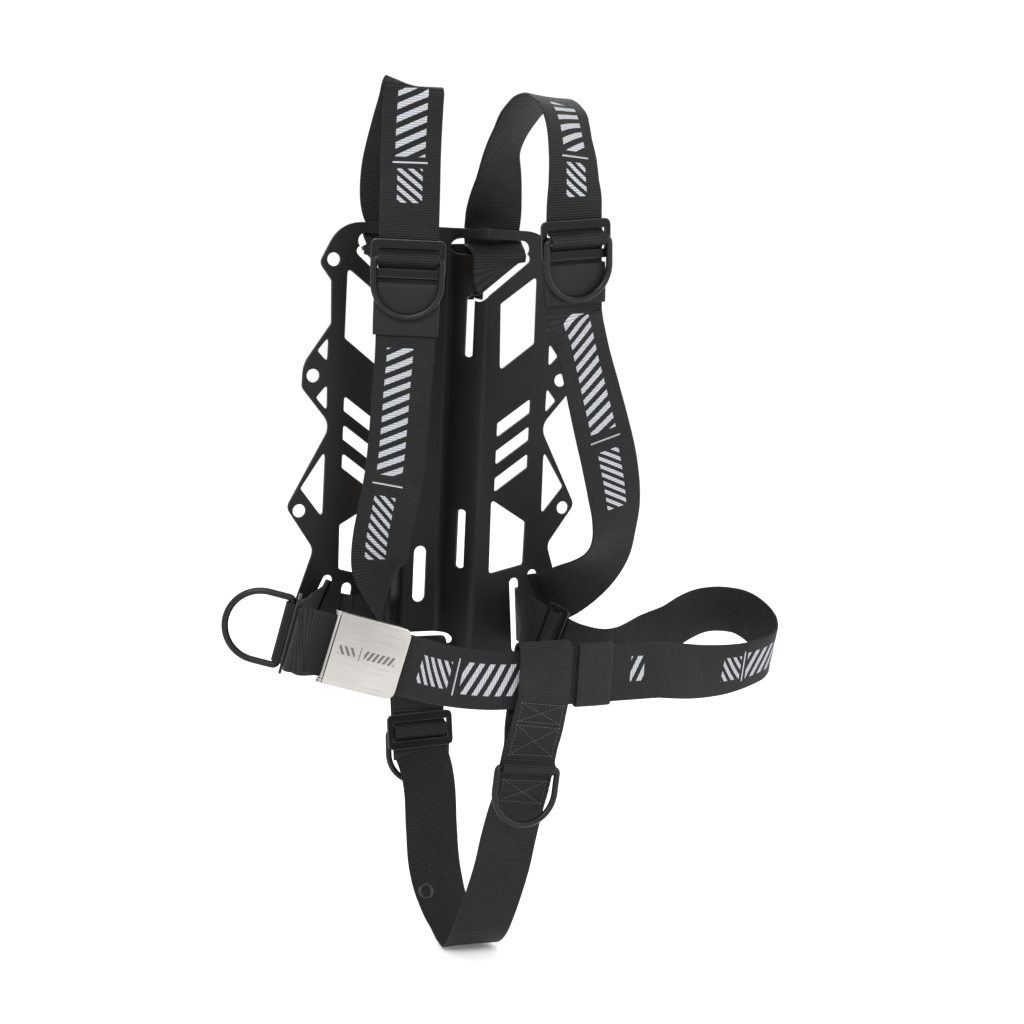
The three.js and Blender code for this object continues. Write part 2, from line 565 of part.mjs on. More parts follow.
const degrees = THREE.MathUtils.degToRad;
put(harness, 'ring_shoulder_right', dRing(ringY), blackMetal(), shoulderRight);
put(harness, 'ring_shoulder_left', dRing(ringY), blackMetal(), shoulderLeft);
put(harness, 'ring_hip_right', dRing(ringY, degrees(90)), blackMetal(), hipRight);
put(harness, 'ring_crotch_front', dRing(stitchedRingY, degrees(10)), blackMetal(), crotchFront);
put(harness, 'ring_crotch_rear', dRing(wrapRadius, degrees(-5)), blackMetal(), crotchTop);

const below = (matrix, drop) => matrix.clone().multiply(new THREE.Matrix4().makeTranslation(0, 0, drop));
put(harness, 'keeper_shoulder_right', keeper(44), elastic(), below(shoulderRight, -slideHalfHeight - 26));
put(harness, 'keeper_shoulder_left', keeper(33), elastic(), below(shoulderLeft, -slideHalfHeight - 20));
put(harness, 'keeper_belt', keeper(35), elastic(), beltSleeve);

put(harness, 'buckle_base', buckleBase(), steel(), buckle);
put(harness, 'buckle_cover', buckleCover(), steel(), buckle);
put(harness, 'buckle_cam_bar', camBar(), steel(), buckle);
put(harness, 'buckle_pin', pinRod(pinAt.radius, 2 * coverHalf), steel(), buckle);

export default jacket;
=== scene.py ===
# Backplate and webbing harness of a wing-type buoyancy compensator.
# Millimetres in the routes are measured from the front face of the plate's wings, as in the CAD part.
import functools
import math
import bpy
import bmesh
import numpy as np
from mathutils import Matrix, Vector, geometry


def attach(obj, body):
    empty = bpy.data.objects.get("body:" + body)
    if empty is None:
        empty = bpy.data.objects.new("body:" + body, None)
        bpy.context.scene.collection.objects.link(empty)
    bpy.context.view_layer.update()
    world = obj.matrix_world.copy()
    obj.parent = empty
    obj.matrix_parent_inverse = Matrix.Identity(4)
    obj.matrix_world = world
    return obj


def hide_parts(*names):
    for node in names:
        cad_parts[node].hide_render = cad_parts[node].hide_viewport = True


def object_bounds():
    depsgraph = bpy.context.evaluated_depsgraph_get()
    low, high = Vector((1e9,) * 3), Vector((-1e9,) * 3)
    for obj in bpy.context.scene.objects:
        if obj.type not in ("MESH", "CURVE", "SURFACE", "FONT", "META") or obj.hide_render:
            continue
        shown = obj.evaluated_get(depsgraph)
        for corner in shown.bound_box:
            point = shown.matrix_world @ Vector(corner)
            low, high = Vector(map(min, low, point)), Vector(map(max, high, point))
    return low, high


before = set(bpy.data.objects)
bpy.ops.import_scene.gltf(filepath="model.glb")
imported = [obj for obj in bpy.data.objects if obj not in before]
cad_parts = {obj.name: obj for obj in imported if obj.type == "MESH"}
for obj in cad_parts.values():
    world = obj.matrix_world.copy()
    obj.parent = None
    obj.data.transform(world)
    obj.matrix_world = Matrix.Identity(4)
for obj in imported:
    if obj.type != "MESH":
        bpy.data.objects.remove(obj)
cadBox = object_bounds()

scene = bpy.context.scene
mm = 0.001
wingFace = -35.0   # the wings' front face in the part's frame


def newObject(name, data):
    made = bpy.data.objects.new(name, data)
    scene.collection.objects.link(made)
    return made


# camera
cameraLook = {"eye": (-0.5905, -1.5211, 0.1670), "target": (0.07545, -0.035, -0.0539), "roll": 2.69,
              "lens": 63.28, "sensor": 36, "far": 50}


def setCamera(eye, target, roll, lens, sensor, far):
    forward = (Vector(target) - Vector(eye)).normalized()
    right = forward.cross(Vector((0, 0, 1))).normalized()
    up = right.cross(forward)
    turn = math.radians(roll)
    x = right * math.cos(turn) + up * math.sin(turn)
    y = up * math.cos(turn) - right * math.sin(turn)
    data = bpy.data.cameras.new("camera")
    data.lens, data.sensor_width, data.clip_end = lens, sensor, far
    made = newObject("camera", data)
    place = Matrix((x, y, -forward)).transposed().to_4x4()
    place.translation = Vector(eye)
    made.matrix_world = place
    scene.camera = made


setCamera(**cameraLook)
print("camera set")


# small helpers
def colour(text):
    parts = [int(text[i:i + 2], 16) / 255 for i in (1, 3, 5)]
    return tuple(c / 12.92 if c <= 0.04045 else ((c + 0.055) / 1.055) ** 2.4 for c in parts) + (1,)


# a node with its settings and links; gives back one of its sockets, or the node itself
def addNode(tree, kind, inputs=(), out=0, **settings):
    made = tree.nodes.new(kind)
    for name, value in settings.items():
        setattr(made, name, value)
    for key, value in inputs.items() if isinstance(inputs, dict) else enumerate(inputs):
        if isinstance(value, bpy.types.NodeSocket):
            tree.links.new(value, made.inputs[key])
        else:
            made.inputs[key].default_value = value
    return made if out is None else made.outputs[out]


# a new material, and addNode for its tree
def newMaterial(name):
    made = bpy.data.materials.new(name)
    made.use_nodes = True
    made.node_tree.nodes.clear()
    return made, functools.partial(addNode, made.node_tree)


# the surface that every finish ends in
def closed(material, inputs):
    tree = material.node_tree
    surface = addNode(tree, "ShaderNodeBsdfPrincipled", inputs)
    addNode(tree, "ShaderNodeOutputMaterial", {"Surface": surface}, out=None)
    return material


def addPiece(name, mesh, material, body="harness", stands=()):
    mesh.name = name
    made = newObject(name, mesh)
    mesh.materials.clear()
    mesh.materials.append(material)
    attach(made, body)
    if stands:
        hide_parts(*stands)
    return made


# the mesh of an object with its modifiers applied; the object goes
def plainMesh(blank):
    bpy.context.view_layer.update()
    mesh = bpy.data.meshes.new_from_object(blank.evaluated_get(bpy.context.evaluated_depsgraph_get()))
    bpy.data.objects.remove(blank)
    return mesh


def smooth(mesh, degrees):
    mesh.polygons.foreach_set("use_smooth", [True] * len(mesh.polygons))
    mesh.set_sharp_from_angle(angle=math.radians(degrees))


def meshFrom(points, faces, edgeShare=None, lay=None, degrees=60):
    mesh = bpy.data.meshes.new("made")
    mesh.from_pydata([tuple(p) for p in points], [], faces)
    work = bmesh.new()
    work.from_mesh(mesh)
    bmesh.ops.recalc_face_normals(work, faces=work.faces)
    work.to_mesh(mesh)
    work.free()
    if edgeShare is not None:
        edge = mesh.attributes.new("edge", "FLOAT", "POINT")
        edge.data.foreach_set("value", np.array(edgeShare, np.float32))
    if lay is not None:
        corners = np.zeros(len(mesh.loops), int)
        mesh.loops.foreach_get("vertex_index", corners)
        mesh.uv_layers.new(name="lay").data.foreach_set("uv", np.array(lay, np.float32)[corners].ravel())
    smooth(mesh, degrees)
    return mesh


# quads between rows of points, where each row is a closed loop
def rowFaces(rows, sides, closed=True, base=0):
    faces = []
    for i in range(rows if closed else rows - 1):
        here, there = base + i * sides, base + (i + 1) % rows * sides
        for k in range(sides):
            m = (k + 1) % sides
            faces.append((here + k, here + m, there + m, there + k))
    return faces


# finishes
# the sizes of patterns are in mm: noise cells per metre of Object coordinates, or per unit of the lay maps
calc, mix, noise, ranged, bump, split = ("ShaderNodeMath", "ShaderNodeMix", "ShaderNodeTexNoise",
                                         "ShaderNodeMapRange", "ShaderNodeBump", "ShaderNodeSeparateXYZ")
inColour = {"out": 2, "data_type": "RGBA"}   # a mix of two colours: 0 is its share, 6 and 7 the colours
layUnit = 10   # mm in one unit of the lay maps

plateLook = {"body": "#0b0a09", "worn": "#141210", "rim": "#3a3833", "rimHighlightShare": 0.55, "roughness": 0.42,
             "peel": 1.1111, "cloud": 71.43, "relief": 0.1}


# satin powder coat on bent steel: broad soft highlights, fine orange peel, a brown cast in the black, and a
# painted highlight: a lighter grey on the bevelled rims of the outline and the cut-outs
def powderCoat(body, worn, rim, rimHighlightShare, roughness, peel, cloud, relief):
    material, add = newMaterial("satin_powder_coat")
    place = add("ShaderNodeTexCoord", out="Object")
    peel = add(noise, {"Vector": place, "Scale": 1 / (peel * mm), "Detail": 3.0})
    cloud = add(noise, {"Vector": place, "Scale": 1 / (cloud * mm), "Detail": 4.0, "Roughness": 0.6})
    edge = add("ShaderNodeAttribute", attribute_name="edge", out="Fac")
    share = add(ranged, {0: cloud, 3: -0.4, 4: 1.4})
    tone = add(mix, {0: share, 6: colour(body), 7: colour(worn)}, **inColour)
    # the rim colour on the bevels' middle rings is a painted highlight
    rubbedAndHighlight = add(calc, [edge, rimHighlightShare], operation="MULTIPLY")
    tone = add(mix, {0: rubbedAndHighlight, 6: tone, 7: colour(rim)}, **inColour)
    return closed(material, {
        "Base Color": tone, "Specular IOR Level": 0.25,
        "Roughness": add(ranged, {0: cloud, 3: roughness - 0.06, 4: roughness + 0.08}),
        "Normal": add(bump, {"Height": peel, "Strength": 0.25, "Distance": relief * mm})})


hardwareLook = {"body": "#101012", "rubbedAndHighlight": "#6b6a68", "roughness": 0.34, "fleck": 3.846, "relief": 0.1}


# black-coated steel wire and pressings: tighter highlights than the plate; grey flecks on the bevelled rims
# and the wire, partly rubbed wear and partly a painted highlight
def blackSteel(body, rubbedAndHighlight, roughness, fleck, relief):
    material, add = newMaterial("black_coated_steel")
    place = add("ShaderNodeTexCoord", out="Object")
    fleck = add(noise, {"Vector": place, "Scale": 1 / (fleck * mm), "Detail": 5.0, "Roughness": 0.7})
    edge = add("ShaderNodeAttribute", attribute_name="edge", out="Fac")
    # grey flecks where the edge share is set: rubbed wear and a painted highlight
    patchy = add(calc, [fleck, edge], operation="MULTIPLY")
    wearAndHighlight = add(calc, [patchy, 0.9], operation="MULTIPLY", use_clamp=True)
    tone = add(mix, {0: wearAndHighlight, 6: colour(body), 7: colour(rubbedAndHighlight)}, **inColour)
    return closed(material, {
        "Base Color": tone, "Metallic": 0.5, "Specular IOR Level": 0.35,
        "Roughness": add(ranged, {0: fleck, 3: roughness - 0.06, 4: roughness + 0.12}),
        "Normal": add(bump, {"Height": fleck, "Strength": 0.2, "Distance": relief * mm})})


# where a value lies between two distances in mm, as 0 or 1
def between(add, value, low, high):
    off = add(calc, [value, (low + high) / 2 / layUnit], operation="SUBTRACT")
    off = add(calc, [off], operation="ABSOLUTE")
    return add(calc, [off, (high - low) / 2 / layUnit], operation="LESS_THAN")


# plain bars and rules: mm along (start, end), mm across (low, high), period, filled share, slant
def markMask(add, u, v, marks):
    total = None
    for start, end, low, high, period, duty, slant in marks:
        box = add(calc, [between(add, v, start, end), between(add, u, low, high)], operation="MULTIPLY")
        if period:
            run = add(calc, [u, slant, v], operation="MULTIPLY_ADD")
            share = add(calc, [run, period / layUnit], operation="DIVIDE")
            share = add(calc, [share], operation="FRACT")
            filled = add(calc, [share, duty], operation="LESS_THAN")
            box = add(calc, [box, filled], operation="MULTIPLY")
        total = box if total is None else add(calc, [total, box], operation="MAXIMUM")
    return total


steelLook = {"body": "#c9c6c2", "shade": "#96928e", "etched": "#6d6a67", "roughness": 0.3,
             "hair": (0.625, 28.57), "cloud": 28.57, "relief": 0.05}
etchedMarks = [(-25, 2, -3, 4, 4.6, 0.55, 0.5), (5.5, 6.3, -5, 6, 0, 1, 0), (10, 25, -3, 4, 5.2, 0.5, -0.7)]


# brushed stainless steel: hair lines along the cover, plain etched bars, sharp but streaked reflections
def brushedSteel(body, shade, etched, roughness, hair, cloud, relief, name="brushed_stainless", marks=()):
    material, add = newMaterial(name)
    uv = add("ShaderNodeUVMap", uv_map="lay")
    width, length = hair
    streaks = add("ShaderNodeMapping", {"Vector": uv, "Scale": (layUnit / width, layUnit / length, 1.0)})
    hair = add(noise, {"Vector": streaks, "Scale": 1.0, "Detail": 4.0, "Roughness": 0.65})
    cloud = add(noise, {"Vector": uv, "Scale": layUnit / cloud, "Detail": 3.0})
    tone = add(mix, {0: hair, 6: colour(body), 7: colour(shade)}, **inColour)
    u, v = add(split, [uv], out=None).outputs[:2]
    mask = markMask(add, u, v, marks)
    if mask:
        tone = add(mix, {0: mask, 6: tone, 7: colour(etched)}, **inColour)
    both = add(calc, [hair, cloud], operation="ADD")
    return closed(material, {
        "Base Color": tone, "Metallic": 1.0,
        "Roughness": add(ranged, {0: both, 2: 2.0, 3: roughness - 0.1, 4: roughness + 0.14}),
        "Normal": add(bump, {"Height": hair, "Strength": 0.12, "Distance": relief * mm})})


elasticLook = {"body": "#0c0c0d", "stretched": "#151516", "roughness": 0.6, "cord": 1.5, "cloud": 12.5,
               "relief": 0.3}


# smooth moulded elastic: matt black, faintly corded along its length
def elasticTube(body, stretched, roughness, cord, cloud, relief):
    material, add = newMaterial("moulded_elastic")
    uv = add("ShaderNodeUVMap", uv_map="lay")
    turn = add(calc, [add(split, [uv]), 2 * math.pi * layUnit / cord], operation="MULTIPLY")
    ridge = add(calc, [turn], operation="SINE")
    cloud = add(noise, {"Vector": uv, "Scale": layUnit / cloud, "Detail": 5.0, "Roughness": 0.6})
    height = add(calc, [ridge, 0.3, cloud], operation="MULTIPLY_ADD")
    return closed(material, {
        "Base Color": add(mix, {0: cloud, 6: colour(body), 7: colour(stretched)}, **inColour),
        "Roughness": roughness, "Specular IOR Level": 0.25,
        "Normal": add(bump, {"Height": height, "Strength": 0.3, "Distance": relief * mm})})


# woven nylon webbing: ribs of thick cross yarn under a fine warp, almost no gloss, with painted shade in the
# grooves between the ribs
# the real ribs are about 1.3 mm apart and are drawn 2 mm apart, so that they show at arm's length
webLook = {"crest": "#1c1c1e", "grooveShade": "#010101", "faded": "#262628", "ink": "#b9bdc2", "pitch": 2.0,
           "yarn": 1.1, "cloud": 45.45, "fuzz": 1.1111, "roughness": 0.6, "relief": 0.6}


def webbingCloth(name, marks=(), side=1):
    look = webLook
    material, add = newMaterial("ribbed_nylon_" + name)
    uv = add("ShaderNodeUVMap", uv_map="lay")
    u, v = add(split, [uv], out=None).outputs[:2]
    rows = add(calc, [v, look["pitch"] / layUnit], operation="DIVIDE")
    rib = add(calc, [rows, math.pi], operation="MULTIPLY")
    rib = add(calc, [add(calc, [rib], operation="SINE")], operation="ABSOLUTE")
    shift = add(calc, [add(calc, [rows], operation="FLOOR"), math.pi / 2], operation="MULTIPLY")
    yarn = add(calc, [u, math.pi * layUnit / look["yarn"], shift], operation="MULTIPLY_ADD")
    yarn = add(calc, [add(calc, [yarn], operation="SINE")], operation="ABSOLUTE")
    yarn = add(calc, [yarn, 0.4, 0.6], operation="MULTIPLY_ADD")
    weave = add(calc, [rib, yarn], operation="MULTIPLY")
    cloud = add(noise, {"Vector": uv, "Scale": layUnit / look["cloud"], "Detail": 5.0, "Roughness": 0.6})
    fuzz = add(noise, {"Vector": uv, "Scale": layUnit / look["fuzz"], "Detail": 2.0})
    # the grooves between the ribs go to near black: painted shade
    tone = add(mix, {0: weave, 6: colour(look["grooveShade"]), 7: colour(look["crest"])}, **inColour)
    fade = add(ranged, {0: cloud, 1: 0.45, 2: 0.9})
    fade = add(calc, [fade, weave], operation="MULTIPLY")
    tone = add(mix, {0: fade, 6: tone, 7: colour(look["faded"])}, **inColour)
    mask = markMask(add, u, v, marks)
    if mask:   # print on the outer face only, thinner in the grooves
        face = add("ShaderNodeAttribute", attribute_name="edge", out="Fac")
        face = add(calc, [face, side], operation="MULTIPLY")
        face = add(calc, [face, 0.5], operation="GREATER_THAN")
        cover = add(calc, [weave, 0.6, 0.4], operation="MULTIPLY_ADD")
        cover = add(calc, [cover, face], operation="MULTIPLY")
        cover = add(calc, [cover, mask], operation="MULTIPLY")
        tone = add(mix, {0: cover, 6: tone, 7: colour(look["ink"])}, **inColour)
    height = add(calc, [fuzz, 0.3, weave], operation="MULTIPLY_ADD")
    return closed(material, {
        "Base Color": tone, "Roughness": look["roughness"], "Specular IOR Level": 0.2,
        "Normal": add(bump, {"Height": height, "Strength": 0.85, "Distance": look["relief"] * mm})})


threadLook = {"shade": "#232325", "body": "#454548", "twist": 0.4, "roughness": 0.5}


# waxed polyester thread: tight small stitches, a touch lighter than the cloth
def waxedThread(shade, body, twist, roughness):
    material, add = newMaterial("waxed_thread")
    place = add("ShaderNodeTexCoord", out="Object")
    twist = add(noise, {"Vector": place, "Scale": 1 / (twist * mm), "Detail": 2.0})
    tone = add(mix, {0: twist, 6: colour(shade), 7: colour(body)}, **inColour)
    return closed(material, {"Base Color": tone, "Roughness": roughness})


powder = powderCoat(**plateLook)
blackWire = blackSteel(**hardwareLook)
elastic = elasticTube(**elasticLook)
stainless = brushedSteel(**steelLook)
thread = waxedThread(**threadLook)
print("finishes made")


# from the first point to the last, drawn towards the middle one
def curved(a, b, c, count=6):
    a, b, c = Vector(a), Vector(b), Vector(c)
    return [a * (1 - t) ** 2 + b * (2 * t * (1 - t)) + c * t ** 2 for t in np.linspace(0, 1, count)]


# an outline from corners of x, y and radius
def rounded(corners, steps=8):
    points = []
    for i, (x, y, radius) in enumerate(corners):
        corner = Vector((x, y))
        before = (Vector(corners[i - 1][:2]) - corner).normalized()
        after = (Vector(corners[(i + 1) % len(corners)][:2]) - corner).normalized()
        if not radius:
            points.append(corner)
            continue
        reach = radius / math.tan(math.acos(max(-1, min(1, before.dot(after)))) / 2)
        points += curved(corner + before * reach, corner, corner + after * reach, steps + 1)
    return points


def arc(cx, cy, radius, start, end, steps):
    angles = np.linspace(start, end, steps)
    return [Vector((cx + radius * math.cos(a), cy + radius * math.sin(a))) for a in angles]


def oblong(x, y, length, width, lean, side=1):
    angle, radius = side * lean, width / 2
    reach, points = length / 2 - radius, []
    for end in (1, -1):
        start = angle + (0 if end > 0 else math.pi)
        points += arc(side * x - end * math.sin(angle) * reach, y + end * math.cos(angle) * reach, radius,
                      start, start + math.pi, 12)
    return points


def tidyLoop(points, counterClockwise):
    kept = [p for i, p in enumerate(points) if (p - points[i - 1]).length > 0.02]
    area = sum(kept[i - 1].x * kept[i].y - kept[i].x * kept[i - 1].y for i in range(len(kept)))
    return kept if (area > 0) == counterClockwise else kept[::-1]


def inset(points, distance):
    moved = []
    for i, p in enumerate(points):
        before, after = p - points[i - 1], points[(i + 1) % len(points)] - p
        n1 = Vector((-before.y, before.x)).normalized()
        n2 = Vector((-after.y, after.x)).normalized()
        middle = (n1 + n2).normalized()
        moved.append(p + middle * distance / max(0.4, middle.dot(n1)))
    return moved


# which of many places lie inside a loop
def insideLoop(places, loop):
    a = np.array([tuple(p) for p in loop])
    b = np.roll(a, -1, axis=0)
    x, y = places[:, :1], places[:, 1:]
    rise = np.where(b[:, 1] == a[:, 1], 1.0, b[:, 1] - a[:, 1])
    at = a[:, 0] + (y - a[:, 1]) / rise * (b[:, 0] - a[:, 0])
    crossed = ((a[:, 1] > y) != (b[:, 1] > y)) & (at > x)
    return np.count_nonzero(crossed, axis=1) % 2 == 1


# triangles of the material between the first loop and the others, with every point they use
def fillLoops(loops):
    flat, edges = [p for loop in loops for p in loop], []
    for loop in loops:
        base = len(edges)
        edges += [(base + i, base + (i + 1) % len(loop)) for i in range(len(loop))]
    found = geometry.delaunay_2d_cdt(flat, edges, [], 0, 1e-4)
    verts, origin = found[0], [(list(o) or [None])[0] for o in found[3]]
    flatVerts = np.array([tuple(p) for p in verts])
    middles = flatVerts[np.array(found[2])].mean(axis=1)
    solid = insideLoop(middles, loops[0])
    for loop in loops[1:]:
        solid &= ~insideLoop(middles, loop)
    return verts, origin, [tuple(t) for t, kept in zip(found[2], solid) if kept]


# the same outlines as loops that don't cross: slots that run into each other become one opening
def mergedLoops(loops):
    verts, _, triangles = fillLoops(loops)
    following = {}
    sides = {(t[i], t[(i + 1) % 3]) for t in triangles for i in range(3)}
    for a, b in sides:
        if (b, a) not in sides:
            following[a] = b
    merged = []
    while following:
        start, at = next(iter(following.items()))
        loop = [verts[start]]
        del following[start]
        while at != start and at in following:
            loop.append(verts[at])
            at = following.pop(at)
        merged.append(loop)
    return sorted(merged, key=lambda loop: min(p.x for p in loop))


# a flat sheet with rounded rims: X and Y from the outlines, Z is the depth behind the front face
def cutSheet(outer, holes, thickness, bevel):
    loops = mergedLoops([outer] + holes)
    loops = [tidyLoop(loops[0], True)] + [tidyLoop(h, False) for h in loops[1:]]
    levels = [(bevel, 0), (bevel * 0.3, bevel * 0.3), (0, bevel), (0, thickness - bevel),
              (bevel * 0.3, thickness - bevel * 0.3), (bevel, thickness)]
    points, faces, share, front, back = [], [], [], [], []
    for loop in loops:
        base, n = len(points), len(loop)
        for k, (distance, depth) in enumerate(levels):
            points += [Vector((p.x, p.y, depth)) for p in inset(loop, distance)]
            # the bevels' middle rings get a share of 1, which the finishes paint lighter: a painted highlight
            # on the rims
            share += [1.0 if k in (1, 4) else 0.0] * n
        faces += rowFaces(len(levels), n, False, base)
        front.append(range(base, base + n))
        back += range(base + (len(levels) - 1) * n, base + len(levels) * n)
    verts, origin, triangles = fillLoops([[points[i].xy for i in loop] for loop in front])
    front = [i for loop in front for i in loop]
    for numbers, depth, turn in ((front, 0, 1), (back, thickness, -1)):
        places = []
        for vert, source in zip(verts, origin):
            if source is None:   # a corner too tight for the rim
                places.append(len(points))
                points.append(Vector((vert.x, vert.y, depth)))
                share.append(0.0)
            else:
                places.append(numbers[source])
        faces += [tuple(places[i] for i in triangle[::turn]) for triangle in triangles]
    return points, faces, share


# backplate
plate = {"top": 200, "bottom": -197.5, "bendX": 40, "floorX": 18, "depth": 32, "sheet": 3, "bevel": 0.55,
         "knee": 4.0}
plateSide = [
    (97, plate["top"], 34), (115, 163.5, 8), (103.8, 149, 6), (102.8, 112.2, 5), (126.8, 76.7, 30),
    (127.5, 56.4, 8), (100.2, 24.2, 16), (138.1, -47.6, 9), (112.4, -84.8, 12), (134.6, -151, 20),
    (134.6, plate["bottom"], 18),
]
lightening = [
    [(89.7, 160.5, 3), (90.3, 100, 3), (57.1, 74.5, 3), (55.1, 134.3, 3)],
    [(89.3, -63.4, 3), (88.9, -102.7, 3), (55.4, -110.8, 3), (54.5, -42.2, 3)],
    [(104.8, 101, 2), (114.5, 88.5, 2), (105.2, 79, 2)],
    [(104.5, 60, 2), (114.5, 48, 2), (104.1, 36.5, 2)],
    [(104.4, 3, 2.5), (126, -31, 2.5), (105.1, -57, 2.5)],
]
slantedBars = [[(57, z - 23, 2), (89, z, 2), (89, z + 13, 2), (57, z - 10, 2)] for z in (37, 12, -13)]
sideHoles = [(102.5, 167), (117.7, 67), (126.5, -50.5), (124, -184.5)]
foldLean, innerLean, outerLean = math.radians(-50), math.radians(5), math.radians(24.5)
pairedSlots = [
    (49, 184, 64, 14, -math.pi / 2), (56.5, 157.5, 64, 9, foldLean), (83.5, -150, 70, 9, innerLean),
    (109, -134.5, 58, 9, outerLean), (30.8, 112.5, 54, 5, 0), (30.8, -80, 54, 5, 0),
]


# depth of the front face behind the wings, and its slope, at a distance from the middle
def channel(x):
    k, slope = plate["knee"], plate["depth"] / (plate["bendX"] - plate["floorX"])

    def ramp(t):
        return (0, 0) if t <= -k else (t, 1) if t >= k else ((t + k) ** 2 / (4 * k), (t + k) / (2 * k))

    high, low = ramp(plate["bendX"] - abs(x)), ramp(plate["floorX"] - abs(x))
    return slope * (high[0] - low[0]), -math.copysign(slope, x) * (high[1] - low[1])


def makeBackplate():
    holes = [oblong(0, -115, 52, 12, 0), oblong(0, -174, 56, 10, math.pi / 2)]
    for side in (1, -1):
        for corners in lightening + slantedBars:
            holes.append(rounded([(side * x, z, r) for x, z, r in corners], 6))
        holes += [arc(side * x, z, 5.8, 0, 2 * math.pi, 33)[:-1] for x, z in sideHoles]
        holes += [oblong(*slot, side=side) for slot in pairedSlots]
    outer = rounded(plateSide + [(-x, z, r) for x, z, r in plateSide[::-1]], 12)
    points, faces, share = cutSheet(outer, holes, plate["sheet"], plate["bevel"])
    work = bmesh.new()
    edge = work.verts.layers.float.new("edge")
    verts = [work.verts.new(p) for p in points]
    for vert, value in zip(verts, share):
        vert[edge] = value
    for face in faces:
        if len(set(face)) == len(face):
            work.faces.new([verts[i] for i in face])
    offsets = np.linspace(-plate["knee"], plate["knee"], 9)   # extra cuts where the sheet bends
    bends = (plate["bendX"], plate["floorX"])
    for x in [side * (bend + k) for side in (1, -1) for bend in bends for k in offsets]:
        parts = work.verts[:] + work.edges[:] + work.faces[:]
        bmesh.ops.bisect_plane(work, geom=parts, dist=1e-5, plane_co=(x, 0, 0), plane_no=(1, 0, 0))
    for vert in work.verts:
        x, z, behind = vert.co
        deep, slope = channel(x)
        normal = Vector((-slope, 1, 0)).normalized()
        vert.co = (Vector((x, wingFace + deep, z)) + normal * behind) * mm
    bmesh.ops.recalc_face_normals(work, faces=work.faces)
    mesh = bpy.data.meshes.new("backplate_shell")
    work.to_mesh(mesh)
    work.free()
    smooth(mesh, 20)
    addPiece("backplate_shell", mesh, powder, stands=("backplate",))


makeBackplate()
print("backplate made")


# frames of the hardware: local X across the webbing, Z along it, -Y its outer side
def frameAt(at, across, along):
    z = Vector(along).normalized()
    x = Vector(across)
    x = (x - z * x.dot(z)).normalized()
    made = Matrix((x, z.cross(x), z)).transposed().to_4x4()
    made.translation = Vector(at)
    return made


shoulderRight = frameAt([-57, -59, 170], [0.94, -0.34, 0], [0, 0, 1])
shoulderLeft = frameAt([49, -157, 192], [1, 0.03, 0], [-0.11, -0.1, 0.99])
hipRight = frameAt([-170, -134, -130], [0.24, 0, 0.97], [0.34, 0.94, 0])
hipLeft = frameAt([90, -64, -160], [0.32, -0.1, 0.94], [-0.15, 1, 0.12])
crotchTop = frameAt([-5, 5, -254], [1, 0, 0], [-0.04, 0.14, 0.99])
crotchFront = frameAt([37, -142, -252], [1, 0, 0.03], [0.12, -0.1, 0.98])
buckle = frameAt([-123, -166, -141.5], [0.28, 0.03, 0.96], [-0.95, -0.06, 0.28])
beltSleeve = frameAt([97, -138, -175], [0, 0, 1], [-0.99, -0.11, 0.02])


# rows of a route that share one direction across
def level(across, *points):
    return [[*p, *across] for p in points]


def stations(place, points):
    across = place.to_3x3().col[0]
    return [[*(place @ Vector((0, y, z))), *across] for y, z in points]


def through(slot, side, points, width=50):
    x, z, lean = slot
    angle = side * lean
    ox, oz = side * math.cos(angle), side * math.sin(angle)
    return [[side * x + p[0] * ox, p[1], z + p[0] * oz, -math.sin(angle), p[2] if len(p) > 2 else 0,
             math.cos(angle), width] for p in points]


def turned(rows, sx, sy, sz):
    return [[x, y, z, sx * ax, sy * ay, sz * az, w] for x, y, z, ax, ay, az, w in rows]


def mirrored(points):
    return points + [[y, -z] for y, z in points[-2::-1]]


web = {"width": 50.0, "thick": 2.2, "step": 3.0}
webHalf, gap, slideThick = web["thick"] / 2, 0.3, 2.5
slideFront = -(webHalf + gap) - slideThick
# the wire's share of grey flecks stands for rubbed wear and a painted highlight
wire = {"radius": 2.75, "half": 28.25, "leg": 20, "bend": 4, "shank": 12, "rubAndHighlightShare": 0.12}
wrapRadius = wire["radius"] + gap + webHalf
ringY = slideFront - gap - wire["radius"]
stitchedRingY = web["thick"] + gap - wrapRadius
foldSlot, innerSlot, outerSlot = (56.5, 157.5, foldLean), (83.5, -150, innerLean), (109, -134.5, outerLean)

weaveWithRing = mirrored([
    [0, 19], [0, 15], [0, 9.6], [-0.4, 7.6], [-1.9, 5.7], [-4.3, 4.7], [ringY, wrapRadius],
    [ringY - wrapRadius * 0.7, wrapRadius * 0.71], [ringY - wrapRadius, 0]])
weavePlain = mirrored([
    [0, 19], [0, 15], [0, 9.6], [-0.4, 7.6], [-1.9, 5.8], [-3.6, 5], [slideFront - webHalf, 4.1],
    [slideFront - 2 * gap - webHalf, 2.3], [slideFront - 2 * gap - webHalf, 0]])
weaveStitched = mirrored([
    [0, 19], [0, 15], [0, 8], [-0.7, 5.4], [stitchedRingY - 1.1, wrapRadius * 0.93],
    [stitchedRingY - wrapRadius * 0.8, wrapRadius * 0.6], [stitchedRingY - wrapRadius, 0]])

# webbing routes: centre, then the direction across the webbing, in mm
# in front of the inner bar of a waist slot, through it and behind the outer bar
weaveBack = [[-7.5, -1.7], [-4.1, -1.6], [-2, -0.3], [0, 1.5], [2, 3.3], [4.2, 4.6], [7.5, 4.7]]
# from behind the bar beside a waist slot and away to the front
goOutward = [[-7.5, 4.7], [-4.2, 4.6], [-2, 3.4], [-0.2, 1.5], [1.2, -1], [2, -5]]


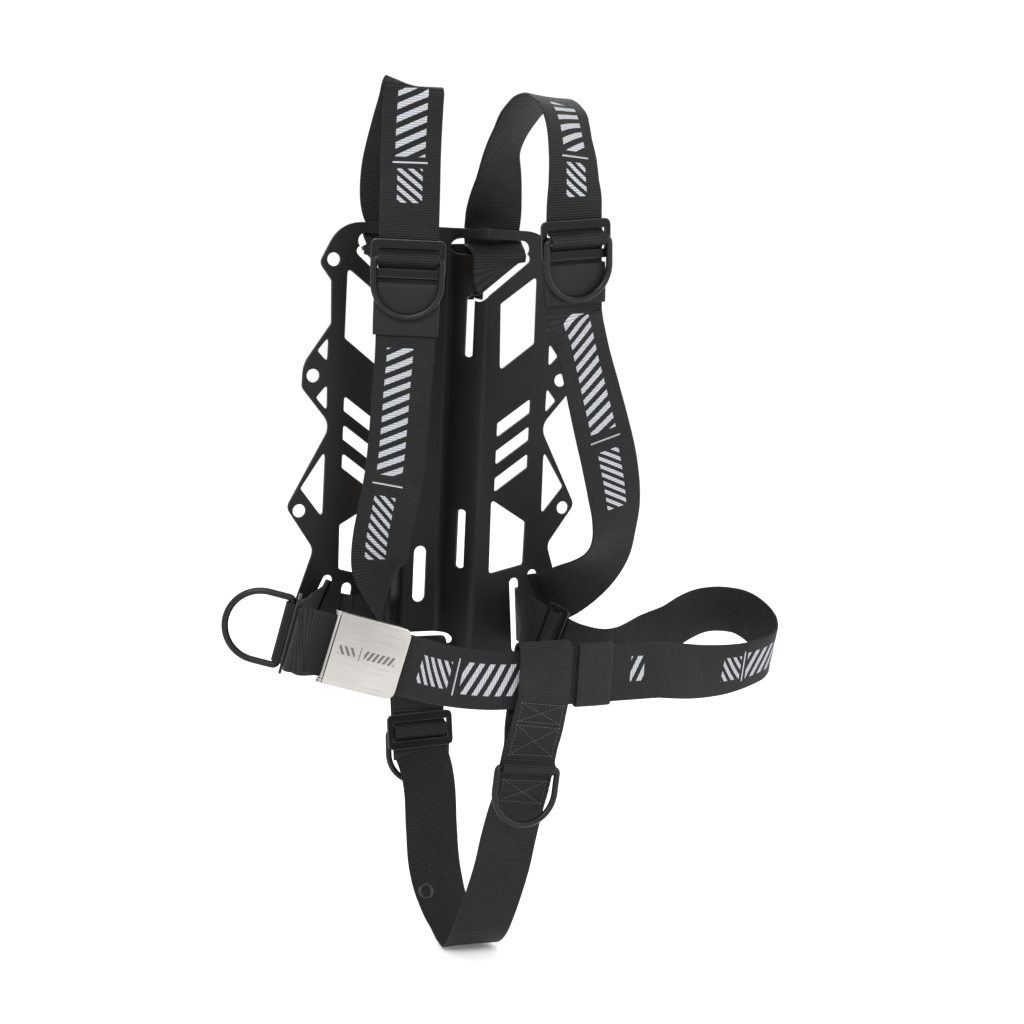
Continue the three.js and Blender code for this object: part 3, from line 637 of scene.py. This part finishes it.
# rows on one side of the plate; turn is -1 where the direction across is turned about
def onSide(side, turn, *rows):
    return [[side * x, y, z, side * turn * ax, turn * ay, turn * az] for x, y, z, ax, ay, az in rows]


def crossoverEnd(side):
    return onSide(side, 1, [38, 24.4, 161.7, 0.3, -0.18, 0.94], [33.5, 27.8, 161.5, 0.16, -0.1, 0.98],
                  [26, 34.4, 161, 0, 0, 1], [20.2, 38.1, 160.5, 0, 0, 1], [14, 38.6, 160.2, 0, 0, 1])


crossover = [*crossoverEnd(-1), [0, 38.6, 160, 0, 0, 1], *crossoverEnd(1)[::-1]]
foldEdge = [[-5.4, 16.8, -0.3], [-3.2, 10.8, -0.22], [-2.75, 3.8, -0.12], [-3, -0.9, -0.02], [-5, -2],
            [-7.5, -2.1]]


# up from the crossover, round the upper edge of the fold slot, up the front and out behind the top edge
def shoulderStart(side):
    return [
        *onSide(side, side, [42.2, 21.3, 161.9, 0.33, -0.2, 0.92], [45.4, 19, 162.1, 0.48, -0.28, 0.83]),
        *turned(through(foldSlot, side, foldEdge, 58), side, side, side),
        *onSide(side, side, [50.5, -2.4, 169, 0.98, 0, 0.18], [50, -4, 176, 1, -0.1, 0],
                [50.2, 0.5, 180.8, 0.98, -0.2, 0], [50.6, 9.8, 186, 0.92, -0.4, 0],
                [51, 18, 191, 0.85, -0.53, 0], [51, 19.6, 198, 0.85, -0.53, 0],
                [51, 18, 206, 0.87, -0.48, 0]),
    ]


shoulderRightRoute = [
    *shoulderStart(-1),
    [-54, 8, 226, 0.98, 0.1, 0], [-57, -8, 250, 0.97, -0.2, 0], [-56, -26, 280, 0.95, -0.3, -0.05],
    [-56, -43, 301, 0.94, -0.33, -0.12], [-57, -51, 309.5, 0.93, -0.33, -0.16],
    [-57, -55.5, 311.5, 0.93, -0.33, -0.16], [-57.3, -58.8, 308, 0.93, -0.33, -0.12],
    [-58, -60, 298, 0.94, -0.35, 0], [-58.5, -60, 262, 0.94, -0.34, 0], [-57.5, -59.3, 220, 0.94, -0.34, 0],
    *stations(shoulderRight, weaveWithRing),
    [-57, -59, 120, 0.94, -0.34, 0], [-57, -59, 86, 0.94, -0.34, 0], [-57, -55, 58, 0.94, -0.34, 0.03],
    [-57, -52, 26, 0.94, -0.34, 0.04], [-59, -50, -13, 0.94, -0.34, 0.05],
    [-63, -48, -43, 0.94, -0.33, 0.07], [-66.5, -45.5, -70, 0.94, -0.32, 0.08],
    [-66, -42, -90, 0.94, -0.2, 0.08], [-60, -34, -111, 0.75, 0.5, 0.35],
    [-54.5, -25, -128, 0.4, 0.6, 0.7], [-57, -15, -140, 0.1, 0.25, 0.96, 50],
    [-65, -8, -146.5, 0.05, 0, 1, 50],
    *through(innerSlot, -1, weaveBack),
]

hipRightRoute = [
    *through(outerSlot, -1, [[-10.5, 4.8], *goOutward]),
    [-115, -20, -134, 0.36, 0, 0.93], [-131, -52, -136, 0.2, 0, 0.98], [-147, -86, -134, 0.2, 0, 0.98],
    *stations(hipRight, weaveWithRing),
    [-178, -157, -129.6, 0.26, 0, 0.96], [-177, -165, -128.6, 0.27, 0.01, 0.96],
    [-171, -168.8, -128, 0.28, 0.03, 0.96],
    *stations(buckle, [[0, 40], [0, 32], [0, 24.2]]),
]

shoulderLeftRoute = [
    *shoulderStart(1),
    [48.3, 8, 226, 0.99, -0.08, 0.05], [46, -2, 245, 0.95, 0.22, 0.12], [44, -10, 262, 0.89, 0.42, 0.15],
    [45, -20, 277, 0.87, 0.48, 0.08], [47, -35, 291, 0.84, 0.53, 0], [47, -53, 301, 0.82, 0.56, -0.04],
    [47, -75, 307.5, 0.79, 0.6, -0.02], [47, -95, 308, 0.8, 0.58, 0.03], [46, -115, 303.5, 0.82, 0.56, 0.07],
    [44, -135, 294, 0.85, 0.5, 0.1], [42.5, -150, 279, 0.9, 0.42, 0.09], [43, -159, 258, 0.96, 0.28, 0.08],
    [44, -161.5, 238, 0.98, 0.18, 0.05], [45.5, -160.8, 224, 1, 0.06, 0.02],
    *stations(shoulderLeft, weaveWithRing),
    *stations(shoulderLeft, [[0, -34], [0, -50], [0, -57.5], [0, -64]]),
    [64, -144.5, 116, 0.97, 0.2, 0.02], [74, -138, 94, 0.98, 0.17, 0.03], [86, -132, 66, 0.99, 0.05, 0.06],
    [99, -126, 35, 1, -0.06, 0.03], [110, -120, 9, 0.99, -0.1, 0.05], [119.5, -114, -18, 1, 0, 0.04],
    [126, -108, -39, 0.98, 0.16, 0.05], [130, -99, -60, 0.94, 0.3, 0], [131, -86, -79, 0.9, 0.35, -0.25],
    [128, -67, -97, 0.78, 0.3, -0.52], [121, -42, -115, 0.62, 0.12, -0.77],
    [114.5, -18, -129, 0.47, 0, -0.88],
    *turned(through(outerSlot, 1, goOutward[::-1]), -1, 1, -1),
]

hipLeftRoute = [
    *through(innerSlot, 1, [[12, 4.8], [8.5, 4.8], [4.3, 4.6], [2.9, 3.8], [2.4, 1.5], [2, -1], [1.6, -5]]),
    [85.2, -16, -152, 0.05, 0, 1], [86, -37, -156, 0.28, -0.06, 0.95],
    *stations(hipLeft, weavePlain),
    [97.2, -88.8, -164.2, 0.3, -0.04, 0.95], [105, -91.8, -166.5, 0.2, 0, 0.97],
    [117, -92.3, -169.5, 0.08, 0, 0.99], [133, -89.5, -171.5, -0.05, 0, 1],
    [151, -82, -171.5, -0.25, -0.05, 0.96], [170, -72, -168.5, -0.42, -0.12, 0.89],
    [190, -60, -165, -0.55, -0.2, 0.8], [213, -50, -160, -0.62, -0.26, 0.74],
    [238, -44, -149, -0.6, -0.28, 0.76], [260, -40, -144, -0.42, -0.31, 0.85],
    [277, -41, -143, -0.22, -0.35, 0.91], [295, -48, -145.5, -0.08, -0.42, 0.9],
    [307, -59, -154, 0, -0.5, 0.86], [311.5, -75, -165, -0.06, -0.45, 0.89],
    [307, -89, -172.5, -0.15, -0.45, 0.88], [296, -98, -177, -0.22, -0.42, 0.88],
    [275, -106, -181, -0.2, -0.35, 0.91], [251, -110.5, -184, -0.13, -0.25, 0.96],
    [215, -118.5, -183, -0.1, -0.12, 0.98], [185, -126.5, -179, -0.03, -0.03, 1],
    *stations(beltSleeve, [[0, -71], [0, -64]]),
]

beltRoute = [
    *stations(beltSleeve, [[0, -63.95], [0, -30], [0, 0], [0, 36]]),
    [30, -143.6, -175, 0.02, 0, 1], [0, -145.4, -174, 0.03, 0, 1], [-30, -148.5, -169.5, 0.08, 0.02, 1],
    [-55, -153.5, -163, 0.16, 0.03, 0.98],
    *stations(buckle, [[0, -44], [0, -30], [0, 0], [0, 23.8]]),
]

crotchRearRoute = [
    *stations(crotchTop, [[2.6, -26], [2.6, -10], [3.5, -5.8], [6.2, -3.8], [7.9, -1.9], [8.35, 0],
                          [7.9, 1.9], [6.2, 3.8], [4.2, 6.5], [4, 12]]),
    *level((1, 0, 0), [-4, 17, -232], [-2, 30, -216], [-0.5, 38.2, -202], [0, 39, -190], [0, 38.7, -180],
           [0, 36.9, -175.6], [0, 31, -173.8], [0, 25.5, -173.8], [0, 20.8, -177.5], [0, 19, -186],
           [-1, 18.2, -200], [-3, 13.5, -218]),
    *stations(crotchTop, weavePlain),
    [-2.5, 1, -277, 1, -0.02, 0], [1, -2, -289, 1, -0.02, -0.02], [4, -5, -308, 1, -0.01, -0.04],
    [5.6, -8.4, -340, 1, -0.01, -0.06],
]

crotchFrontRoute = [
    [5.62, -8.42, -340.1, 1, -0.01, -0.06], [7, -14, -371, 1, -0.02, -0.07], [9, -20, -389, 1, 0, -0.1],
    [12, -28, -405, 0.99, 0.05, -0.15], [17, -40, -421, 0.98, 0.05, -0.15],
    [21, -54, -431, 0.98, -0.08, -0.05], [22.5, -68, -433, 0.96, -0.2, 0.05],
    [22, -81, -426, 0.95, -0.28, 0.1], [21, -94, -413, 0.95, -0.27, 0.06], [22, -104, -395, 0.96, -0.23, 0],
    [25, -113, -370, 0.98, -0.19, -0.06], [28, -120, -345, 0.98, -0.15, -0.11],
    [29.5, -127, -318, 0.99, -0.12, -0.12], [32.2, -134.5, -289, 0.99, -0.06, -0.1],
    *stations(crotchFront, weaveStitched)[::-1],
    [41.5, -145.8, -222, 1, 0.02, 0], [44, -147, -206, 1, 0.04, 0], [46.5, -147.8, -188, 1, 0.06, 0],
    *level((1, 0.07, 0), [47, -148, -168], [47, -147.6, -153], [46.8, -146.2, -146.6],
           [46.5, -142.4, -143.8], [46.3, -138.4, -146.6], [46, -136.8, -153]),
    [45, -136.6, -175, 1, 0.06, 0], [43, -137.4, -196, 1, 0.03, 0],
    [40.5, -139.4, -216, 1, 0, 0],
    *stations(crotchFront, [[2.7, 20], [2.6, 10], [2.6, -20]]),
]


# a place in mm behind the wings' front face, in the part's own frame
def inPart(p):
    return Vector((p[0], p[1] + wingFace, p[2])) * mm


# webbing
def spline(points, t):
    last = len(points) - 1
    i = min(int(last * t), last - 1)
    w, x1, x2 = last * t - i, points[i], points[i + 1]
    x0 = points[i - 1] if i else 2 * x1 - x2
    x3 = points[i + 2] if i + 2 <= last else 2 * x2 - x1
    d0, d1, d2 = (np.sum((b - a) ** 2) ** 0.25 for a, b in ((x0, x1), (x1, x2), (x2, x3)))
    d1 = d1 if d1 > 1e-4 else 1.0
    d0, d2 = (d if d > 1e-4 else d1 for d in (d0, d2))
    m1 = ((x1 - x0) / d0 - (x2 - x0) / (d0 + d1) + (x2 - x1) / d1) * d1
    m2 = ((x2 - x1) / d1 - (x3 - x1) / (d1 + d2) + (x3 - x2) / d2) * d1
    return x1 + m1 * w + (3 * (x2 - x1) - 2 * m1 - m2) * w ** 2 + (2 * (x1 - x2) + m1 + m2) * w ** 3


# (arc length, centre, direction across, normal, width) along a route
def webFrames(route):
    centres = [np.array(row[:3], float) for row in route]
    acrosses = [np.array(row[3:6], float) for row in route]
    spans, times = len(route) - 1, []
    for i in range(spans):
        count = max(3, math.ceil(np.linalg.norm(centres[i + 1] - centres[i]) / web["step"]))
        times += [(i + k / count) / spans for k in range(count)]
    frames, length, before = [], 0.0, centres[0]
    for t in times + [1.0]:
        centre = spline(centres, t)
        tangent = spline(centres, min(t + 1e-4, 1)) - spline(centres, max(t - 1e-4, 0))
        tangent /= np.linalg.norm(tangent)
        i = min(int(t * spans), spans - 1)
        ends = ((route[i], 1 - (t * spans - i)), (route[i + 1], t * spans - i))
        # rows with a width of their own also keep their direction across
        square = sum(share for row, share in ends if len(row) < 7)
        width = sum((row[6] if len(row) > 6 else web["width"]) * share for row, share in ends)
        across = spline(acrosses, t)
        across = across - tangent * across.dot(tangent) * square
        across /= np.linalg.norm(across)
        normal = np.cross(tangent, across)
        normal /= np.linalg.norm(normal)
        length += float(np.linalg.norm(centre - before))
        frames.append((length, centre, across, normal, width))
        before = centre
    return frames


flatAcross = np.linspace(-1, 1, 13)
edgeTurns = np.radians([60, 30, 0, -30, -60])


def webbing(name, route, material, begin=0.0):
    frames, points, lay, face = webFrames(route), [], [], []
    for length, centre, across, normal, width in frames:
        reach = width / 2 - webHalf
        section = [(a * reach, webHalf) for a in flatAcross]
        section += [(reach + webHalf * math.cos(a), webHalf * math.sin(a)) for a in edgeTurns]
        section += [(-a * reach, -webHalf) for a in flatAcross]
        section += [(-reach - webHalf * math.cos(a), -webHalf * math.sin(a)) for a in edgeTurns]
        for a, n in section:
            points.append(inPart(centre + across * a + normal * n))
            lay.append((a / width * web["width"] / layUnit, (length + begin) / layUnit))
            face.append(n / webHalf)
    n = len(section)
    faces = rowFaces(len(frames), n, False)
    faces += [tuple(range(n)), tuple(range(len(points) - n, len(points)))[::-1]]
    mesh = meshFrom(points, faces, face, lay)
    addPiece(name + "_cloth", mesh, material, stands=(name,))
    return frames


# a printed panel, mm along and across a webbing: slanted bars, a rule, bars the other way
printLook = {"bars": (10.5, 0.5, 0.5), "smallBars": (8.0, 0.5, -0.8), "rule": 1.4, "ends": (0.6, 0.64, 0.7)}


def printed(start, end, low, high):
    barsEnd, rule, smallStart = (start + share * (end - start) for share in printLook["ends"])
    return [(start, barsEnd, low + 2, high - 2, *printLook["bars"]),
            (rule, rule + printLook["rule"], low, high, 0, 1, 0),
            (smallStart, end, low + 4, high - 4, *printLook["smallBars"])]


# route, printed marks and the printed side of each webbing
webbingLook = {
    "webbing_crossover": (crossover, (), 1),
    "webbing_shoulder_right": (shoulderRightRoute, printed(224, 318, -15, 14) + printed(452, 636, -17, 9), 1),
    "webbing_shoulder_left": (shoulderLeftRoute, printed(286, 376, -12, 15) + printed(484, 670, -13, 14), 1),
    "webbing_hip_right": (hipRightRoute, (), 1),
    "webbing_hip_left": (hipLeftRoute, printed(384, 456, -15, 16), -1),
    "webbing_belt": (beltRoute, printed(124, 238, -15, 16) + printed(12, 36, -10, 16)[:1], -1),
    "webbing_crotch_rear": (crotchRearRoute, (), 1),
}
plainCloth = webbingCloth("plain")
webs = {}
for name, (route, marks, side) in webbingLook.items():
    webs[name] = webbing(name, route, webbingCloth(name, marks, side) if marks else plainCloth)
rearLength = webs["webbing_crotch_rear"][-1][0]
webs["webbing_crotch_front"] = webbing("webbing_crotch_front", crotchFrontRoute, plainCloth, rearLength)
print("webbing made")


# wire and sheet hardware
def placed(place, points):
    return [inPart(place @ Vector(p)) for p in points]


# round wire along a closed path in local X and Z
def sweepWire(path, radius, sides=20):
    points = []
    for i, p in enumerate(path):
        along = (path[(i + 1) % len(path)] - path[i - 1]).normalized()
        for k in range(sides):
            a = 2 * math.pi * k / sides
            points.append((p.x - along.y * radius * math.cos(a), radius * math.sin(a),
                           p.y + along.x * radius * math.cos(a)))
    return points, rowFaces(len(path), sides)


def dRing(name, place, barY, tip=0.0):
    h, bend, shank = wire["half"], wire["bend"], wire["shank"]
    path = [Vector((x, 0)) for x in np.linspace(-h + bend, h - bend, 8)[:-1]]
    path += curved((h - bend, 0), (h, 0), (h, -bend)) + [Vector((h, -shank))]
    path += arc(0, -wire["leg"], h, 0, -math.pi, 40)
    path += [Vector((-h, -shank))] + curved((-h, -bend), (-h, 0), (-h + bend, 0))[:-1]
    points, faces = sweepWire(path, wire["radius"])
    tipped = Matrix.Rotation(math.radians(-tip), 3, "X")
    points = [tipped @ Vector(p) + Vector((0, barY, 0)) for p in points]
    # every point of the wire takes the same share of grey flecks: rubbed wear and a painted highlight
    mesh = meshFrom(placed(place, points), faces, [wire["rubAndHighlightShare"]] * len(points))
    addPiece(name + "_wire", mesh, blackWire, body=name, stands=(name,))


dRing("ring_shoulder_right", shoulderRight, ringY)
dRing("ring_shoulder_left", shoulderLeft, ringY)
dRing("ring_hip_right", hipRight, ringY, 90)
dRing("ring_crotch_front", crotchFront, stitchedRingY, 10)
dRing("ring_crotch_rear", crotchTop, wrapRadius, -5)

slideLook = {"half": 31.5, "height": 16, "corner": 6, "barHalf": 3, "slotOuter": 8.5, "slotCorner": 1.5,
             "bevel": 0.75}


def slideSheet(name, place):
    look = slideLook
    w, h, r = look["half"], look["height"], look["corner"]
    outer = rounded([(-w, -h, r), (w, -h, r), (w, h, r), (-w, h, r)], 10)
    low, high, half = look["barHalf"], look["slotOuter"], web["width"] / 2 + 1
    slot = [(-half, low), (half, low), (half, high), (-half, high)]
    holes = [rounded([(x, side * z, look["slotCorner"]) for x, z in slot]) for side in (1, -1)]
    points, faces, share = cutSheet(outer, holes, slideThick, look["bevel"])
    points = placed(place, [(p.x, slideFront + p.z, p.y) for p in points])
    addPiece(name + "_pressing", meshFrom(points, faces, share, degrees=20), blackWire,
             stands=(name,))


slidePlaces = {"shoulder_right": shoulderRight, "shoulder_left": shoulderLeft, "hip_right": hipRight,
               "hip_left": hipLeft, "crotch": crotchTop}
for name, place in slidePlaces.items():
    slideSheet("slide_" + name, place)
print("wire and slides made")


# elastic keepers: a wall swept round the webbing
keeperLook = {"wall": 2.0, "room": 0.5, "crown": 0.25, "lip": 0.7, "corner": 1, "facet": 4}


def keeperTube(name, place, length, drop=0.0):
    look = keeperLook
    w, t, e = web["width"] / 2 + look["room"], webHalf + look["room"], length / 2
    r, facet, lip, wall = look["corner"], look["facet"], look["lip"], look["wall"]
    loop = tidyLoop(rounded([(-w, -t, r), (w, -t, r), (w, t, r), (-w, t, r)], 8), True)
    dense = []
    for i, p in enumerate(loop):
        q = loop[(i + 1) % len(loop)]
        parts = max(1, round((q - p).length / facet))
        dense += [p.lerp(q, k / parts) for k in range(parts)]
    # from the inner face round the rolled lip to the crowned outer face and back
    wallShape = [(0, z) for z in np.linspace(-e + lip * 0.6, e - lip * 0.6, 5)]
    wallShape += [(lip * 0.6, e), (wall - lip, e), (wall - lip * 0.3, e - lip * 0.3)]
    wallShape += [(wall + look["crown"] * (1 - (z / e) ** 2), z) for z in np.linspace(e - lip, -e + lip, 9)]
    wallShape += [(wall - lip * 0.3, -e + lip * 0.3), (wall - lip, -e), (lip * 0.6, -e)]
    points, lay, around = [], [], 0.0
    for i, p in enumerate(dense):
        before, after = p - dense[i - 1], dense[(i + 1) % len(dense)] - p
        normals = [Vector((edge.y, -edge.x)).normalized() for edge in (before, after)]
        out = sum(normals, Vector((0, 0))).normalized()
        around += before.length if i else 0
        for o, z in wallShape:
            q = p + out * o
            points.append((q.x, q.y, z + drop))
            lay.append((around / layUnit, z / layUnit))
    faces = rowFaces(len(dense), len(wallShape))
    mesh = meshFrom(placed(place, points), faces, lay=lay, degrees=50)
    addPiece(name + "_tube", mesh, elastic, body=name, stands=(name,))


keeperTube("keeper_shoulder_right", shoulderRight, 44, -42)
keeperTube("keeper_shoulder_left", shoulderLeft, 33, -36)
keeperTube("keeper_belt", beltSleeve, 35)
print("keepers made")


# buckle: the bent sheets keep the part's own shape, with softened edges
def softened(node, width, segments=3):
    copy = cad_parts[node].data.copy()
    work = bmesh.new()
    work.from_mesh(copy)
    bmesh.ops.remove_doubles(work, verts=work.verts, dist=1e-5)
    bmesh.ops.dissolve_limit(work, angle_limit=math.radians(1), verts=work.verts, edges=work.edges)
    bmesh.ops.recalc_face_normals(work, faces=work.faces)
    work.to_mesh(copy)
    work.free()
    blank = newObject("blank", copy)
    turn = blank.modifiers.new("edges", "BEVEL")
    turn.width, turn.segments, turn.limit_method = width * mm, segments, "ANGLE"
    turn.angle_limit, turn.harden_normals = math.radians(40), False
    return plainMesh(blank)


def layFromFrame(mesh, place):
    back, shift = place.inverted(), Vector((0, wingFace, 0))
    turn = back.to_3x3()
    layer = mesh.uv_layers.get("lay") or mesh.uv_layers.new(name="lay")
    for face in mesh.polygons:
        normal = turn @ face.normal
        for i in face.loop_indices:
            p = back @ (mesh.vertices[mesh.loops[i].vertex_index].co / mm - shift)
            side = p.x if abs(normal.y) > 0.5 or abs(normal.z) > 0.7 else p.y
            layer.data[i].uv = (side / layUnit, p.z / layUnit)


etched = brushedSteel(**steelLook, name="brushed_stainless_etched", marks=etchedMarks)
for node, body, width, material in (
        ("buckle_base", "harness", 0.3, stainless), ("buckle_cover", "buckle_cover", 0.35, etched),
        ("buckle_cam_bar", "buckle_cover", 0.4, stainless), ("buckle_pin", "harness", 0.5, stainless)):
    mesh = softened(node, width)
    layFromFrame(mesh, buckle)
    smooth(mesh, 40)
    addPiece(node + "_sheet", mesh, material, body=body, stands=(node,))
print("buckle made")


# stitches and the eyelet
# instances of a short round stitch along poly-lines, turned to follow them
def stitchTree():
    tree = bpy.data.node_groups.new("stitchRows", "GeometryNodeTree")
    for name, kind in (("Rows", "Geometry"), ("Pitch", "Float"), ("Long", "Float"), ("Thick", "Float"),
                       ("Thread", "Material")):
        tree.interface.new_socket(name, in_out="INPUT", socket_type="NodeSocket" + kind)
    tree.interface.new_socket("Stitches", in_out="OUTPUT", socket_type="NodeSocketGeometry")
    add = functools.partial(addNode, tree)
    given = add("NodeGroupInput", out=None).outputs
    curve = add("GeometryNodeMeshToCurve", {"Mesh": given["Rows"]})
    even = add("GeometryNodeResampleCurve", {"Curve": curve, "Length": given["Pitch"]}, mode="LENGTH")
    turn = add("FunctionNodeAlignRotationToVector", {"Vector": add("GeometryNodeInputTangent")}, axis="Z")
    ball = add("GeometryNodeMeshUVSphere", {"Segments": 8, "Rings": 6, "Radius": 0.5})
    scale = add("ShaderNodeCombineXYZ", [given["Thick"], given["Thick"], given["Long"]])
    many = add("GeometryNodeInstanceOnPoints",
               {"Points": even, "Instance": ball, "Rotation": turn, "Scale": scale})
    real = add("GeometryNodeRealizeInstances", [many])
    made = add("GeometryNodeSetMaterial", {"Geometry": real, "Material": given["Thread"]})
    add("NodeGroupOutput", [made], out=None)
    return tree


stitchLook = {"thick": 0.75, "long": 2.7, "pitch": 3.2, "proud": 0.1}
rowsTree = stitchTree()


def stitches(name, lines):
    points, edges = [], []
    for line in lines:
        edges += [(len(points) + i, len(points) + i + 1) for i in range(len(line) - 1)]
        points += line
    mesh = bpy.data.meshes.new(name)
    mesh.from_pydata([tuple(p) for p in points], edges, [])
    blank = newObject(name, mesh)
    rows = blank.modifiers.new("rows", "NODES")
    rows.node_group = rowsTree
    items = [item for item in rowsTree.interface.items_tree if item.in_out == "INPUT"]
    sockets = {item.name: item.identifier for item in items}
    for size in ("Pitch", "Long", "Thick"):
        rows[sockets[size]] = stitchLook[size.lower()] * mm
    rows[sockets["Thread"]] = thread
    made = plainMesh(blank)
    smooth(made, 180)
    addPiece(name, made, thread)


# a point on the face of a webbing, mm along and across it
def onWeb(frames, along, across, face):
    i = min(range(len(frames)), key=lambda k: abs(frames[k][0] - along))
    i = min(max(i, 1), len(frames) - 2)
    j = i + 1 if frames[i][0] < along else i - 1
    share = (along - frames[i][0]) / (frames[j][0] - frames[i][0])
    centre, side, normal = (frames[i][k] + (frames[j][k] - frames[i][k]) * share for k in (1, 2, 3))
    return inPart(centre + side * across + normal * face * (webHalf + stitchLook["proud"]))


# a square of stitches with a cross in it
def boxStitch(frames, start, end, half, face):
    def run(a, b):
        count = max(2, round(math.dist(a, b) / web["step"]))
        return [onWeb(frames, a[0] + (b[0] - a[0]) * k / count, a[1] + (b[1] - a[1]) * k / count, face)
                for k in range(count + 1)]

    c = [(start, -half), (end, -half), (end, half), (start, half)]
    return [run(c[i], c[(i + 1) % 4]) for i in range(4)] + [run(c[0], c[2]), run(c[1], c[3])]


# the frame of a webbing nearest to a point
def nearest(frames, at):
    return min(frames, key=lambda f: np.linalg.norm(f[1] - np.array(at, float)))


# mm along the crotch strap from its ring, and from the front of its loop
boxes = {"half": 20, "ring": ((-34, -14), (14, 40)), "loop": ((-44, -28),), "loopFront": (47, -148, -168)}
frontWeb = webs["webbing_crotch_front"]
ringAt = nearest(frontWeb, crotchFront @ Vector((0, stitchedRingY - wrapRadius, 0)))[0]
loopAt = nearest(frontWeb, boxes["loopFront"])[0]
for name, at, spans in (("crotch_stitches", ringAt, boxes["ring"]), ("loop_stitches", loopAt, boxes["loop"])):
    lines = [boxStitch(frontWeb, at + start, at + end, boxes["half"], -1) for start, end in spans]
    stitches(name, sum(lines, []))

eyeletLook = {"near": (10, -22, -397), "hole": 4.2, "rim": 8.2, "proud": 0.9, "aside": -14.5, "steps": 40,
              "rubAndHighlightShare": 0.4}


def eyelet(frames):
    look = eyeletLook
    _, centre, across, normal, _ = nearest(frames, look["near"])
    along = np.cross(across, normal)
    middle, half = (look["hole"] + look["rim"]) / 2, (look["rim"] - look["hole"]) / 2
    points, sides = [], 12
    for s in range(look["steps"]):
        turn = 2 * math.pi * s / look["steps"]
        out = across * math.cos(turn) + along * math.sin(turn)
        for k in range(sides):
            a = 2 * math.pi * k / sides
            high = (webHalf + look["proud"]) * math.sin(a)
            place = centre + across * look["aside"] + out * (middle + half * math.cos(a))
            points.append(inPart(place + normal * high))
    faces = rowFaces(look["steps"], sides)
    # the eyelet takes a share of the grey flecks: rubbed wear and a painted highlight
    mesh = meshFrom(points, faces, [look["rubAndHighlightShare"]] * len(points))
    addPiece("crotch_eyelet", mesh, blackWire)


eyelet(frontWeb)
print("stitches and eyelet made")


# floor and studio light
floorLook = {"paper": "#fafafa", "below": 3.0, "half": 6.0}


def makeFloor(paper, below, half):
    material, add = newMaterial("matt_paper")
    cloud = add(noise, {"Vector": add("ShaderNodeTexCoord", out="Object"), "Scale": 3.0})
    tone = add(mix, {0: cloud, 6: colour(paper), 7: colour("#ffffff")}, **inColour)
    closed(material, {"Base Color": tone, "Roughness": 0.9, "Specular IOR Level": 0.1})
    z = cadBox[0].z - below * mm
    corners = [(-half, -half, z), (half, -half, z), (half, half, z), (-half, half, z)]
    mesh = bpy.data.meshes.new("floor")
    mesh.from_pydata(corners, [], [(0, 1, 2, 3)])
    mesh.materials.append(material)
    newObject("floor", mesh)


makeFloor(**floorLook)


def softBox(name, at, towards, size, power):
    data = bpy.data.lights.new(name, "AREA")
    data.shape, data.size, data.energy = "SQUARE", size, power
    made = newObject(name, data)
    made.location = at
    made.rotation_euler = (Vector(towards) - Vector(at)).to_track_quat("-Z", "Y").to_euler()


# place and aim in metres, width in metres, watts
lightLook = {"key": ((-1.3, -1.9, 1.7), (0, 0, 0), 1.1, 50), "rim": ((0.4, 1.9, 1.6), (0, 0, 0), 1.2, 26),
             "fill": ((2.0, -1.3, 0.7), (0.05, 0, -0.05), 1.4, 20)}
airLook = {"Color": colour("#ffffff"), "Strength": 1.05}
for name, settings in lightLook.items():
    softBox(name, *settings)

world = bpy.data.worlds.new("studio")
scene.world = world
world.use_nodes = True
world.node_tree.nodes.clear()
air = addNode(world.node_tree, "ShaderNodeBackground", airLook)
addNode(world.node_tree, "ShaderNodeOutputWorld", {"Surface": air}, out=None)
scene.view_settings.view_transform = "Standard"
print("stage and lights made")
